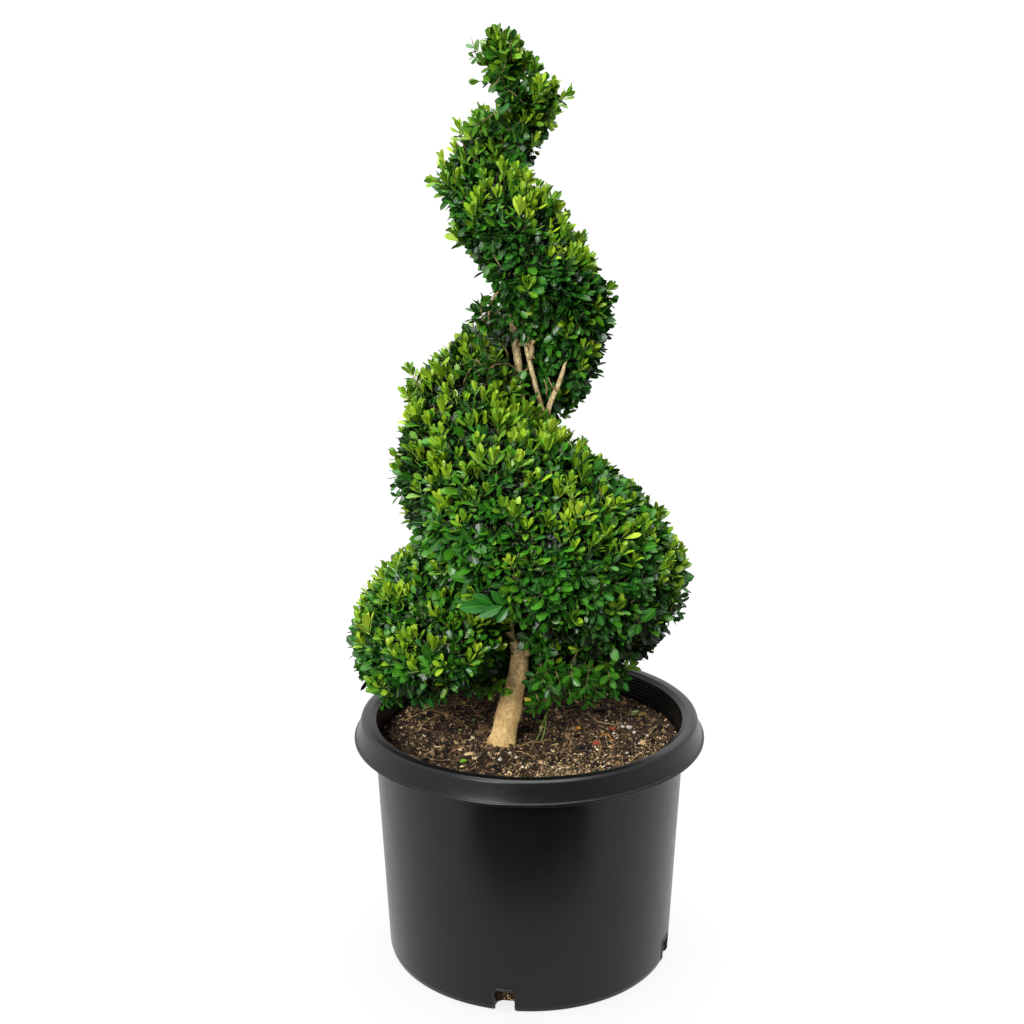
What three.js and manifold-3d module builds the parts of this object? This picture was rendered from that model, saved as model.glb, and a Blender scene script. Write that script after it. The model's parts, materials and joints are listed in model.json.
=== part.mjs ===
// Spiral topiary: a clipped boxwood, about 1.1 m tall, growing in a round black
// nursery container.  Millimetres, +Z up, origin at the centre of the pot's flat
// underside, front of the plant towards -Y.
//
// The plant is a single leaning stem that runs from the soil to the tip, and a
// left-handed band of clipped foliage that winds down round it for a little over
// three turns.  The band is built as a row of separate masses, each about a
// quarter of a turn, cut round the stem and the boughs that show in the grooves.

import * as THREE from 'three';
import { mergeVertices } from 'three/addons/utils/BufferGeometryUtils.js';
import Module from 'manifold-3d';

const wasm = await Module();
wasm.setup();

// ---------------------------------------------------------------- dimensions
const GAP = 0.4;                 // clearance between pieces that touch

const POT_HEIGHT = 307;          // ground to the flat top of the rim
const RIM_INNER_R = 191;         // mouth of the pot
const RIM_OUTER_R = 205;         // outer edge of the rim's flat top
const SKIRT_R = 215;             // lower edge of the flared skirt
const SKIRT_BOTTOM_Z = 279;
const SKIRT_LIP = 3;             // small bead along the skirt's lower edge
const SKIRT_THICK = 2.6;
const WALL_FOOT_R = 176.8;       // outer wall radius, extended down to z = 0
const WALL_TAPER = 0.0473;       // radius gained for each mm of height
const WALL = 2.6;
const FLOOR = 3;
const FOOT_R = 173;              // radius of the flat underside
const FOOT_ROUND = 4.5;
const POT_SIDES = 64;

const NOTCH_ANGLES = [-10, 71, 170, 251];   // degrees from the front, towards +X
const NOTCH_WIDTH = 25;
const NOTCH_HEIGHT = 22;
const NOTCH_DEPTH = 24;          // how far each notch runs in under the floor

const SOIL_Z = 272;              // soil level, 35 mm below the rim
const SOIL_SIDES = 48;

// Stem: height, centre x, centre y, radius.  It leaves the soil left of and in
// front of the pot's axis, leans right to the low fork, swings back left and
// then runs up close to the middle of the spiral.
const STEM = [
  [272.0, -32.5, -27.0, 17.0],
  [281.0, -31.0, -26.0, 15.4],
  [296.0, -28.4, -24.4, 15.2],
  [313.0, -25.2, -22.0, 15.9],
  [331.0, -21.8, -18.0, 14.2],
  [349.0, -16.2, -14.0, 12.0],
  [364.0, -13.2, -10.0, 12.2],
  [383.0, -12.6,  -6.0, 10.0],
  [397.0, -19.6,  -5.0,  8.2],
  [414.0, -26.0,  -4.0,  7.8],
  [470.0, -25.0,   0.0,  7.4],
  [600.0, -15.0,   1.0,  6.6],
  [690.0, -10.5,   0.0,  6.2],
  [729.0, -12.0,   0.0,  5.9],
  [781.0, -18.0,   0.0,  5.6],
  [880.0, -19.0,   0.0,  4.8],
  [960.0, -16.0,   0.0,  4.3],
  [1002.0, -12.0,  0.0,  3.8],
  [1050.0, -20.0,  0.0,  3.0],
  [1092.0, -27.0,  0.0,  1.8],
];
const STEM_SIDES = 12;
const STEM_STEPS = 30;
const FLARE = 0.16;              // how far the root flare's lobes stand out
const FLARE_HEIGHT = 26;

// Boughs that show: points from root to end, and the radius at each end.
const BOUGHS = {
  bough_low_right: {
    path: [[-14, -6, 374], [-3, -6.5, 385], [7, -7, 394], [17, -8, 402]],
    r0: 6.8, r1: 4.6,
  },
  bough_groove_left: {
    path: [[20, -13, 668], [15.5, -12, 684], [4.7, -9, 723], [-5.4, -6, 767], [-8.5, -5, 790]],
    r0: 4.4, r1: 3.0,
  },
  bough_groove_right: {
    path: [[20, -13, 668], [24, -12, 690], [34, -10, 714], [43.5, -8, 744], [47, -7, 762]],
    r0: 4.6, r1: 3.0,
  },
};
const BOUGH_SIDES = 8;
const BOUGH_STEPS = 7;

// The foliage band.  Each row gives, at one winding angle, the cross-section of
// the band in the half-plane that leaves the spiral's axis at that angle:
//   turn      winding angle in degrees (270 front, 360 right, 450 back, 540 left)
//   topIn     height of the top surface next to the stem
//   sh, shZ   shoulder: distance from the axis, and height
//   reach, reachZ   the outermost point
//   low, lowZ       lower outer corner
//   botIn     height of the underside next to the stem
const BAND = [
  // turn topIn  sh   shZ  reach reachZ low  lowZ  botIn
  [ 250, 1038,  22, 1038,  30, 1026,  24, 1008,  998],
  [ 300, 1040,  34, 1048,  48, 1036,  36, 1002,  988],
  [ 360, 1041,  52, 1060,  70, 1044,  40,  988,  958],
  [ 450, 1032,  44, 1028,  72,  986,  52,  930,  905],
  [ 540, 1014,  52, 1002,  86,  952,  58,  872,  838],
  [ 630,  982,  62,  952, 104,  886,  84,  822,  802],
  [ 675,  962,  64,  930, 110,  850,  88,  782,  776],
  [ 705,  948,  62,  914, 114,  816,  86,  736,  738],
  [ 720,  938,  62,  902, 116,  800,  84,  706,  690],
  [ 810,  862,  90,  808, 132,  704, 106,  630,  606],
  [ 900,  786, 120,  722, 147,  626, 122,  540,  556],
  [ 990,  718, 136,  650, 178,  568, 156,  466,  484],
  [1080,  662, 128,  606, 208,  488, 156,  366,  346],
  [1125,  624, 134,  562, 210,  456, 168,  346,  326],
  [1170,  588, 146,  520, 208,  430, 176,  340,  324],
  [1260,  530, 146,  494, 201,  408, 182,  348,  336],
  [1322,  466, 112,  462, 166,  420, 150,  384,  376],
];
// The masses: a name and the winding angles that it runs between.
const MASSES = [
  ['foliage_top_front',     250, 315],
  ['foliage_top_right',     315, 405],
  ['foliage_top_back',      405, 495],
  ['foliage_upper_left',    495, 585],
  ['foliage_upper_front',   585, 675],
  ['foliage_middle_right',  675, 765],
  ['foliage_middle_back',   765, 855],
  ['foliage_middle_left',   855, 945],
  ['foliage_lower_front',   945, 1035],
  ['foliage_lower_right',  1035, 1125],
  ['foliage_lower_back',   1125, 1215],
  ['foliage_bottom_left',  1215, 1322],
];
const STEP_DEG = 11;             // winding angle between cross-sections
const OUTLINE = 11;              // points along the outside of a cross-section
const INNER_RHO = 3;             // the masses stop this far from the axis
const LUMP = 0.035;              // unevenness, as a part of the local reach
const END_ROUND_DEG = 13;        // the band's two free ends are rounded over this

// The spiral's axis: height, x, y.
const AXIS = [
  [330, -15, -8], [480, -16, -2], [730, -14, 0], [950, -19, 0], [1090, -26, 0],
];

// The tuft at the very top, round the last of the stem.
const TIP = { x: -27, y: -1, bottom: 1045, top: 1114, radius: 34, widest: 0.46 };

const COLOUR = {
  pot: 0x2b2b2d, soil: 0x3b2c21, stem: 0xa98f6c, bough: 0xa5906f,
  light: 0x6fa02a, mid: 0x3f7a26, dark: 0x275a25,
};

// ------------------------------------------------------------------- helpers
const rad = (deg) => deg * Math.PI / 180;
const lerp = (a, b, t) => a + (b - a) * t;

// A smooth curve through rows of numbers, read by the value in the first column.
function table(rows) {
  const xs = rows.map((r) => r[0]);
  const slope = rows.map((r, i) => {
    const a = rows[Math.max(0, i - 1)], b = rows[Math.min(rows.length - 1, i + 1)];
    return r.map((_, c) => (b[c] - a[c]) / (b[0] - a[0]));
  });
  return (x) => {
    let i = 0;
    while (i < xs.length - 2 && x > xs[i + 1]) i += 1;
    const h = xs[i + 1] - xs[i];
    const t = THREE.MathUtils.clamp((x - xs[i]) / h, 0, 1);
    const t2 = t * t, t3 = t2 * t;
    return rows[i].map((_, c) => (2 * t3 - 3 * t2 + 1) * rows[i][c] + (t3 - 2 * t2 + t) * h * slope[i][c]
      + (3 * t2 - 2 * t3) * rows[i + 1][c] + (t3 - t2) * h * slope[i + 1][c]);
  };
}

function toSolid(geometry) {
  let g = geometry.clone();
  g.deleteAttribute('normal');
  g.deleteAttribute('uv');
  g = mergeVertices(g, 1e-4);
  const idx = [];
  for (let i = 0; i < g.index.count; i += 3) {
    const a = g.index.getX(i), b = g.index.getX(i + 1), c = g.index.getX(i + 2);
    if (a !== b && b !== c && a !== c) idx.push(a, b, c);
  }
  const make = (tri) => new wasm.Manifold(new wasm.Mesh({
    numProp: 3,
    vertProperties: new Float32Array(g.attributes.position.array),
    triVerts: new Uint32Array(tri),
  }));
  let solid = make(idx);
  if (solid.volume() < 0) {
    const flipped = [];
    for (let i = 0; i < idx.length; i += 3) flipped.push(idx[i], idx[i + 2], idx[i + 1]);
    solid = make(flipped);
  }
  return solid;
}

// The largest connected body of a solid, as a geometry.
function toGeometry(solid) {
  const bodies = solid.decompose().sort((a, b) => b.volume() - a.volume());
  const m = bodies[0].getMesh();
  const g = new THREE.BufferGeometry();
  const pos = new Float32Array(m.vertProperties.length / m.numProp * 3);
  for (let i = 0, j = 0; i < m.vertProperties.length; i += m.numProp, j += 3) {
    pos[j] = m.vertProperties[i]; pos[j + 1] = m.vertProperties[i + 1]; pos[j + 2] = m.vertProperties[i + 2];
  }
  g.setAttribute('position', new THREE.BufferAttribute(pos, 3));
  g.setIndex(new THREE.BufferAttribute(new Uint32Array(m.triVerts), 1));
  return g;
}

const group = new THREE.Group();
function addMesh(name, geometry, colour, roughness) {
  const g = geometry.index ? geometry.toNonIndexed() : geometry;
  g.computeVertexNormals();
  const mesh = new THREE.Mesh(geometry, new THREE.MeshStandardMaterial({ color: colour, roughness, metalness: 0 }));
  mesh.name = name;
  group.add(mesh);
}

// ----------------------------------------------------------------------- pot
const wallR = (z) => WALL_FOOT_R + WALL_TAPER * z;

function potProfile() {
  const p = [[0, 0], [FOOT_R, 0]];
  for (let k = 1; k <= 2; k += 1) {
    const a = rad(45 * k);
    p.push([lerp(FOOT_R, wallR(FOOT_ROUND), Math.sin(a)), FOOT_ROUND * (1 - Math.cos(a))]);
  }
  const under = POT_HEIGHT - SKIRT_THICK;                 // underside of the rim's top
  p.push([wallR(SKIRT_BOTTOM_Z), SKIRT_BOTTOM_Z]);
  p.push([wallR(under), under]);                          // inside the folded skirt
  p.push([RIM_OUTER_R - SKIRT_THICK, under]);
  p.push([SKIRT_R - SKIRT_THICK, SKIRT_BOTTOM_Z]);
  p.push([SKIRT_R, SKIRT_BOTTOM_Z]);
  p.push([SKIRT_R - 0.3, SKIRT_BOTTOM_Z + SKIRT_LIP]);
  p.push([SKIRT_R - 2.2, SKIRT_BOTTOM_Z + SKIRT_LIP + 1.2]);
  p.push([RIM_OUTER_R + 1, POT_HEIGHT - 2]);
  p.push([RIM_OUTER_R - 1, POT_HEIGHT]);
  p.push([RIM_INNER_R, POT_HEIGHT]);
  p.push([RIM_INNER_R - 1.6, POT_HEIGHT - 2]);
  p.push([wallR(SOIL_Z) - WALL, SOIL_Z]);
  p.push([wallR(FLOOR) - WALL, FLOOR]);
  p.push([0, FLOOR]);
  return p.map(([r, z]) => new THREE.Vector2(r, z));
}

function lathe(points, sides) {
  const g = new THREE.LatheGeometry(points, sides);
  g.rotateX(Math.PI / 2);
  return g;
}

// A cutter for one drainage notch: a box lying across the foot of the wall.
function notchBox(angle, width, height, inner) {
  const outer = SKIRT_R;
  const g = new THREE.BoxGeometry(width, outer - inner, height + 10);
  g.translate(0, -(outer + inner) / 2, (height - 10) / 2);
  g.rotateZ(rad(angle));
  return toSolid(g);
}

let pot = toSolid(lathe(potProfile(), POT_SIDES));
for (const a of NOTCH_ANGLES) {
  pot = pot.subtract(notchBox(a, NOTCH_WIDTH, NOTCH_HEIGHT, FOOT_R + 2 - NOTCH_DEPTH));
}
addMesh('pot', toGeometry(pot), COLOUR.pot, 0.45);

// ---------------------------------------------------------------------- soil
const soilInset = WALL + GAP;
const soilPoints = [
  [0, FLOOR + GAP], [wallR(FLOOR) - soilInset - 1, FLOOR + GAP],
  [wallR(SOIL_Z - 2) - soilInset, SOIL_Z - 2],
  [wallR(SOIL_Z) - soilInset - 3, SOIL_Z - 0.6],
  [150, SOIL_Z - 0.5], [100, SOIL_Z - GAP],
  [0, SOIL_Z - GAP],
].map(([r, z]) => new THREE.Vector2(r, z));
let soil = toSolid(lathe(soilPoints, SOIL_SIDES));
for (const a of NOTCH_ANGLES) {
  soil = soil.subtract(notchBox(a, NOTCH_WIDTH + 2, NOTCH_HEIGHT - 6, FOOT_R + 4 - NOTCH_DEPTH));
}
addMesh('soil', toGeometry(soil), COLOUR.soil, 0.95);

// ---------------------------------------------------------------------- stem
const stemAt = table(STEM);

function stemGeometry(extra) {
  const top = STEM[STEM.length - 1][0], base = STEM[0][0];
  const g = new THREE.CylinderGeometry(1, 1, 1, STEM_SIDES, STEM_STEPS, false);
  g.rotateX(Math.PI / 2);
  const p = g.attributes.position;
  for (let i = 0; i < p.count; i += 1) {
    const t = p.getZ(i) + 0.5;
    // steps lie closer together low down, where the stem bends and swells
    const z = base + (top - base) * t ** 1.55;
    const [, cx, cy, r] = stemAt(z);
    const a = Math.atan2(p.getY(i), p.getX(i));
    const low = Math.max(0, 1 - (z - base) / FLARE_HEIGHT);
    const lobe = 1 + FLARE * low * low * (Math.cos(a - rad(190)) + 0.6 * Math.cos(3 * a + 1));
    const wave = 1 + 0.035 * Math.sin(3 * a + z * 0.06) + 0.025 * Math.sin(5 * a - z * 0.031);
    const unit = Math.hypot(p.getX(i), p.getY(i));
    const rr = (r * lobe * wave + extra) * unit;
    p.setXYZ(i, cx + rr * Math.cos(a), cy + rr * Math.sin(a), z + (t < 1e-6 ? -extra : t > 1 - 1e-6 ? extra : 0));
  }
  return g;
}
const stem = toSolid(stemGeometry(0));
const stemRoom = toSolid(stemGeometry(GAP));
addMesh('trunk', toGeometry(stem), COLOUR.stem, 0.85);

// -------------------------------------------------------------------- boughs
function boughGeometry({ path, r0, r1 }, extra) {
  const curve = new THREE.CatmullRomCurve3(path.map((q) => new THREE.Vector3(...q)), false, 'centripetal');
  const frames = curve.computeFrenetFrames(BOUGH_STEPS, false);
  const g = new THREE.CylinderGeometry(1, 1, 1, BOUGH_SIDES, BOUGH_STEPS, false);
  const p = g.attributes.position;
  for (let i = 0; i < p.count; i += 1) {
    const t = p.getY(i) + 0.5;
    const k = Math.round(t * BOUGH_STEPS);
    const c = curve.getPointAt(THREE.MathUtils.clamp(t, 0, 1));
    const r = lerp(r0, r1, t) + extra;
    c.addScaledVector(frames.normals[k], r * p.getX(i));
    c.addScaledVector(frames.binormals[k], r * p.getZ(i));
    if (k === 0) c.addScaledVector(frames.tangents[k], -extra);
    if (k === BOUGH_STEPS) c.addScaledVector(frames.tangents[k], extra);
    p.setXYZ(i, c.x, c.y, c.z);
  }
  return g;
}
const cutters = [stemRoom];
let room = stemRoom;
for (const [name, spec] of Object.entries(BOUGHS)) {
  const solid = toSolid(boughGeometry(spec, 0)).subtract(room);
  addMesh(name, toGeometry(solid), COLOUR.bough, 0.85);
  const grown = toSolid(boughGeometry(spec, GAP));
  cutters.push(grown);
  room = room.add(grown);
}

// ------------------------------------------------------------------- foliage
const bandAt = table(BAND);
const axisAt = table(AXIS);

// Unevenness of the clipped surface: three slow waves that never repeat.
const lump = (turn, z) => Math.sin(rad(turn) * 3.1 + z * 0.021) * 0.5
  + Math.sin(rad(turn) * 5.3 - z * 0.034 + 1.7) * 0.32 + Math.sin(rad(turn) * 8.7 + z * 0.053 + 0.6) * 0.18;

// Points round one cross-section, as [distance from axis, height].
function section(turn) {
  const [, topIn, sh, shZ, reach, reachZ, low, lowZ, botIn] = bandAt(turn);
  const spline = new THREE.SplineCurve([
    new THREE.Vector2(INNER_RHO, topIn), new THREE.Vector2(sh * 0.5, lerp(topIn, shZ, 0.4)),
    new THREE.Vector2(sh, shZ), new THREE.Vector2(reach, reachZ),
    new THREE.Vector2(low, lowZ), new THREE.Vector2(low * 0.5, lerp(botIn, lowZ, 0.4)),
    new THREE.Vector2(INNER_RHO, botIn),
  ]);
  const pts = [];
  for (let k = 0; k < OUTLINE; k += 1) {
    const q = spline.getPointAt(k / (OUTLINE - 1));
    const s = 1 + LUMP * lump(turn, q.y) * Math.min(1, q.x / 40);
    pts.push([INNER_RHO + (q.x - INNER_RHO) * s, q.y]);
  }
  for (let k = 1; k < 3; k += 1) pts.push([INNER_RHO, lerp(botIn, topIn, k / 3)]);
  return pts;
}

function massGeometry(from, to, first, last) {
  // winding angles of the cross-sections, closer together over a rounded end
  const turns = [];
  const n = Math.round((to - from) / STEP_DEG);
  for (let k = 0; k <= n; k += 1) turns.push(lerp(from, to, k / n));
  const scales = turns.map(() => 1);
  if (first || last) {
    for (const f of [0.4, 0.75, 0.95]) {
      const scale = Math.sqrt(1 - f * f);
      if (first) { turns.unshift(from - END_ROUND_DEG * f); scales.unshift(scale); }
      if (last) { turns.push(to + END_ROUND_DEG * f); scales.push(scale); }
    }
  }
  const rings = turns.map((turn, k) => {
    const pts = section(THREE.MathUtils.clamp(turn, BAND[0][0], BAND[BAND.length - 1][0]));
    const c = pts.reduce((s, q) => [s[0] + q[0] / pts.length, s[1] + q[1] / pts.length], [0, 0]);
    const shift = k === 0 && !first ? GAP / 2 : k === turns.length - 1 && !last ? -GAP / 2 : 0;
    const a = rad(turn);
    const place = ([rho, z]) => {
      const r = c[0] + (rho - c[0]) * scales[k], h = c[1] + (z - c[1]) * scales[k];
      const [, ax, ay] = axisAt(h);
      return [ax + r * Math.cos(a) - shift * Math.sin(a), ay + r * Math.sin(a) + shift * Math.cos(a), h];
    };
    return { points: pts.map(place), centre: place(c) };
  });
  const w = OUTLINE + 2, h = rings.length + 1;
  const g = new THREE.SphereGeometry(1, w, h);
  const p = g.attributes.position;
  for (let iy = 0, i = 0; iy <= h; iy += 1) {
    for (let ix = 0; ix <= w; ix += 1, i += 1) {
      const ring = rings[THREE.MathUtils.clamp(iy - 1, 0, rings.length - 1)];
      p.setXYZ(i, ...(iy === 0 || iy === h ? ring.centre : ring.points[ix % w]));
    }
  }
  return g;
}

function tipGeometry() {
  const g = new THREE.SphereGeometry(1, 12, 8);
  const p = g.attributes.position;
  for (let i = 0; i < p.count; i += 1) {
    const x = p.getX(i), y = p.getZ(i), up = p.getY(i);
    const a = Math.atan2(y, x), flat = Math.hypot(x, y);
    const t = (up + 1) / 2;
    const z = TIP.bottom + (TIP.top - TIP.bottom) * t;
    const belly = t < TIP.widest ? Math.sqrt(Math.max(0, 1 - ((TIP.widest - t) / (TIP.widest * 1.12)) ** 2))
      : Math.cos((t - TIP.widest) / (1 - TIP.widest) * Math.PI / 2) ** 0.8;
    const end = t < 1e-6 || t > 1 - 1e-6 ? 0 : 1;
    const r = TIP.radius * belly * end * (1 + 0.1 * Math.sin(2 * a + 2.2) + 0.06 * Math.sin(3 * a + z * 0.1));
    p.setXYZ(i, TIP.x + (flat > 1e-6 ? r * Math.cos(a) : 0) - 8 * (t - 0.4), TIP.y + (flat > 1e-6 ? r * Math.sin(a) : 0), z);
  }
  return g;
}

function addFoliage(name, geometry, colour) {
  let solid = toSolid(geometry);
  for (const c of cutters) solid = solid.subtract(c);
  addMesh(name, toGeometry(solid), colour, 0.9);
}

addFoliage('foliage_tip', tipGeometry(), COLOUR.light);
MASSES.forEach(([name, from, to], i) => {
  const shade = [COLOUR.mid, COLOUR.light, COLOUR.dark][i % 3];
  addFoliage(name, massGeometry(from, to, i === 0, i === MASSES.length - 1), shade);
});

export default group;
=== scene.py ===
import json
import math

import bmesh
import bpy
import numpy as np
from mathutils import Matrix, Vector, kdtree
from mathutils.bvhtree import BVHTree

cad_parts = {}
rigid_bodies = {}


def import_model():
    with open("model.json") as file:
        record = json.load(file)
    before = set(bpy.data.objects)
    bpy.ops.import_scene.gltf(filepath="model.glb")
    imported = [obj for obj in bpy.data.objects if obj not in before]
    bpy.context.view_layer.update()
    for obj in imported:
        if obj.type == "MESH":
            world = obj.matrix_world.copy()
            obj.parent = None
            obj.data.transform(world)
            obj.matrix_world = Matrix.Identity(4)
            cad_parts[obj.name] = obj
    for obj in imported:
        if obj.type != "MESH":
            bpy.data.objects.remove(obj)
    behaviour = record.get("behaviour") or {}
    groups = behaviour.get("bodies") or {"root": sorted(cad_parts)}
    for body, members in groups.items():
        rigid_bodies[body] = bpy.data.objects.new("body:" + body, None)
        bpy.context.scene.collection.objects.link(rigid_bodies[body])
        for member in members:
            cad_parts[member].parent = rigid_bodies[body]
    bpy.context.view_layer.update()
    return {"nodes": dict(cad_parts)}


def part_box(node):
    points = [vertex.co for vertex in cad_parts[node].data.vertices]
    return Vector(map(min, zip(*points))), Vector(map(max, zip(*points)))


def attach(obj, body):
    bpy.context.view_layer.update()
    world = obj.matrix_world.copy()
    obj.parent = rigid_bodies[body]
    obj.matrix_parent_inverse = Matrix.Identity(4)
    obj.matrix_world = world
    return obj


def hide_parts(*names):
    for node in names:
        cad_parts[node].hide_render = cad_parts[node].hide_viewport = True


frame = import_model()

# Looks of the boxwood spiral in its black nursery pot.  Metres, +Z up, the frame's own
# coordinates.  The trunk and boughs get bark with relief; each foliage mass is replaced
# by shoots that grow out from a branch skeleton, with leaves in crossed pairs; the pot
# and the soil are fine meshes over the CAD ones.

NODES = frame["nodes"]
MASSES = sorted(n for n in NODES if n.startswith("foliage_"))

# ------------------------------------------------------------------ camera
CAM_POS = np.array([-0.0202, -1.6959, 0.9959])
CAM_PITCH, CAM_ROLL = 0.2522, -0.0036
FOCAL_PX = 1471.9
_c, _s = math.cos(CAM_PITCH), math.sin(CAM_PITCH)
FWD = np.array([0, _c, -_s])
_up, _right = np.array([0, _s, _c]), np.array([1.0, 0, 0])
CAM_X = math.cos(CAM_ROLL) * _right + math.sin(CAM_ROLL) * _up
CAM_Y = -math.sin(CAM_ROLL) * _right + math.cos(CAM_ROLL) * _up

cam_data = bpy.data.cameras.new("camera")
cam_data.sensor_width = 36.0
cam_data.lens = FOCAL_PX / 1024 * 36.0
cam_data.clip_start, cam_data.clip_end = 0.05, 200
camera = bpy.data.objects.new("camera", cam_data)
m = Matrix.Identity(4)
for row in range(3):
    m[row][0], m[row][1], m[row][2], m[row][3] = CAM_X[row], CAM_Y[row], -FWD[row], CAM_POS[row]
camera.matrix_world = m
bpy.context.scene.collection.objects.link(camera)
bpy.context.scene.camera = camera


def to_picture(p):
    """Picture x, y and depth of points, used to keep leaves off the limbs that show."""
    d = np.asarray(p, float) - CAM_POS
    z = d @ FWD
    return np.stack([512 + FOCAL_PX * (d @ CAM_X) / z, 512 - FOCAL_PX * (d @ CAM_Y) / z, z], -1)


# ------------------------------------------------------------------ helpers
def unit(v):
    return v / np.maximum(np.linalg.norm(v, axis=-1, keepdims=True), 1e-12)


def smooth(a, b, x):
    t = np.clip((x - a) / (b - a), 0, 1)
    return t * t * (3 - 2 * t)


def noise(p, scale, seed=0):
    """Smooth value noise from -1 to 1 at points p, with scale in cells per metre."""
    q = np.asarray(p, float) * scale
    i = np.floor(q).astype(np.int64)
    f = q - i
    f = f * f * (3 - 2 * f)
    out = np.zeros(q.shape[:-1])
    for dx in (0, 1):
        for dy in (0, 1):
            for dz in (0, 1):
                h = ((i[..., 0] + dx) * 73856093) ^ ((i[..., 1] + dy) * 19349663) ^ ((i[..., 2] + dz) * 83492791) ^ (seed * 1013904223 + 12345)
                h = ((h ^ (h >> 13)) * 1274126177) & 0xFFFFFFFF
                h = ((h ^ (h >> 15)) * 2246822519) & 0xFFFFFFFF
                h ^= h >> 16
                w = (f[..., 0] if dx else 1 - f[..., 0]) * (f[..., 1] if dy else 1 - f[..., 1]) * (f[..., 2] if dz else 1 - f[..., 2])
                out += w * (h & 0xFFFFFF) / 0xFFFFFF
    return out * 2 - 1


def fractal(p, scale, seed=0, octaves=3, gain=0.5):
    total, amp, norm = 0, 1.0, 0
    for k in range(octaves):
        total = total + amp * noise(p, scale * 2 ** k, seed + 17 * k)
        norm += amp
        amp *= gain
    return total / norm


def lin(rgb):
    c = np.array(rgb, float) / 255
    c = np.where(c <= 0.04045, c / 12.92, ((c + 0.055) / 1.055) ** 2.4)
    return (float(c[0]), float(c[1]), float(c[2]), 1.0)


class Bag:
    """Collects triangles with material numbers, and makes one joined mesh of them."""

    def __init__(self):
        self.v, self.t, self.m, self.n = [], [], [], 0

    def add(self, verts, tris, mat):
        verts = np.asarray(verts, np.float32).reshape(-1, 3)
        tris = np.asarray(tris, np.int64).reshape(-1, 3)
        self.v.append(verts)
        self.t.append(tris + self.n)
        self.m.append(np.broadcast_to(np.asarray(mat, np.int32), (len(tris),)).copy())
        self.n += len(verts)

    def build(self, name, materials, flat=False):
        return make_mesh(name, np.concatenate(self.v), np.concatenate(self.t), np.concatenate(self.m), materials, flat)


def make_mesh(name, verts, tris, mats, materials, flat=False):
    me = bpy.data.meshes.new(name)
    verts = np.asarray(verts, np.float32)
    tris = np.asarray(tris, np.int32)
    me.vertices.add(len(verts))
    me.vertices.foreach_set("co", verts.ravel())
    me.loops.add(len(tris) * 3)
    me.loops.foreach_set("vertex_index", tris.ravel())
    me.polygons.add(len(tris))
    me.polygons.foreach_set("loop_start", np.arange(0, len(tris) * 3, 3, dtype=np.int32))
    me.polygons.foreach_set("material_index", np.asarray(mats, np.int32))
    me.polygons.foreach_set("use_smooth", np.full(len(tris), not flat, bool))
    me.update(calc_edges=True)
    for mat in materials:
        me.materials.append(mat)
    ob = bpy.data.objects.new(name, me)
    bpy.context.scene.collection.objects.link(ob)
    return ob


def tubes(P, R, sides):
    """Closed tubes along centre lines P (n, k, 3) with radii R (n, k)."""
    P, R = np.asarray(P, float), np.asarray(R, float)
    n, k, _ = P.shape
    T = np.empty_like(P)
    T[:, 1:-1] = P[:, 2:] - P[:, :-2]
    T[:, 0] = P[:, 1] - P[:, 0]
    T[:, -1] = P[:, -1] - P[:, -2]
    T = unit(T)
    mean = unit(P[:, -1] - P[:, 0])[:, None]
    ref = np.where(np.abs(mean[..., 2:3]) > 0.8, np.array([1.0, 0.1, 0]), np.array([0.0, 0.1, 1.0]))
    X = unit(np.cross(T, ref))
    Y = np.cross(T, X)
    a = np.arange(sides) * 2 * math.pi / sides
    V = P[:, :, None] + R[:, :, None, None] * (np.cos(a)[:, None] * X[:, :, None] + np.sin(a)[:, None] * Y[:, :, None])
    idx = np.arange(n * k * sides).reshape(n, k, sides)
    nxt = np.roll(idx, -1, axis=2)
    A, B, C, D = idx[:, :-1], nxt[:, :-1], nxt[:, 1:], idx[:, 1:]
    tris = [np.stack([A, B, C], -1).reshape(-1, 3), np.stack([A, C, D], -1).reshape(-1, 3)]
    for j in range(1, sides - 1):
        tris.append(np.stack([idx[:, -1, 0], idx[:, -1, j], idx[:, -1, j + 1]], -1))
        tris.append(np.stack([idx[:, 0, 0], idx[:, 0, j + 1], idx[:, 0, j]], -1))
    return V.reshape(-1, 3), np.concatenate(tris)


# ------------------------------------------------------------------ materials
def plain(name, rgb, rough=0.5, spec=0.5):
    mat = bpy.data.materials.new(name)
    mat.use_nodes = True
    b = mat.node_tree.nodes["Principled BSDF"]
    b.inputs["Base Color"].default_value = lin(rgb)
    b.inputs["Roughness"].default_value = rough
    b.inputs["Specular IOR Level"].default_value = spec
    mat.diffuse_color = lin(rgb)
    return mat


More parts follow.
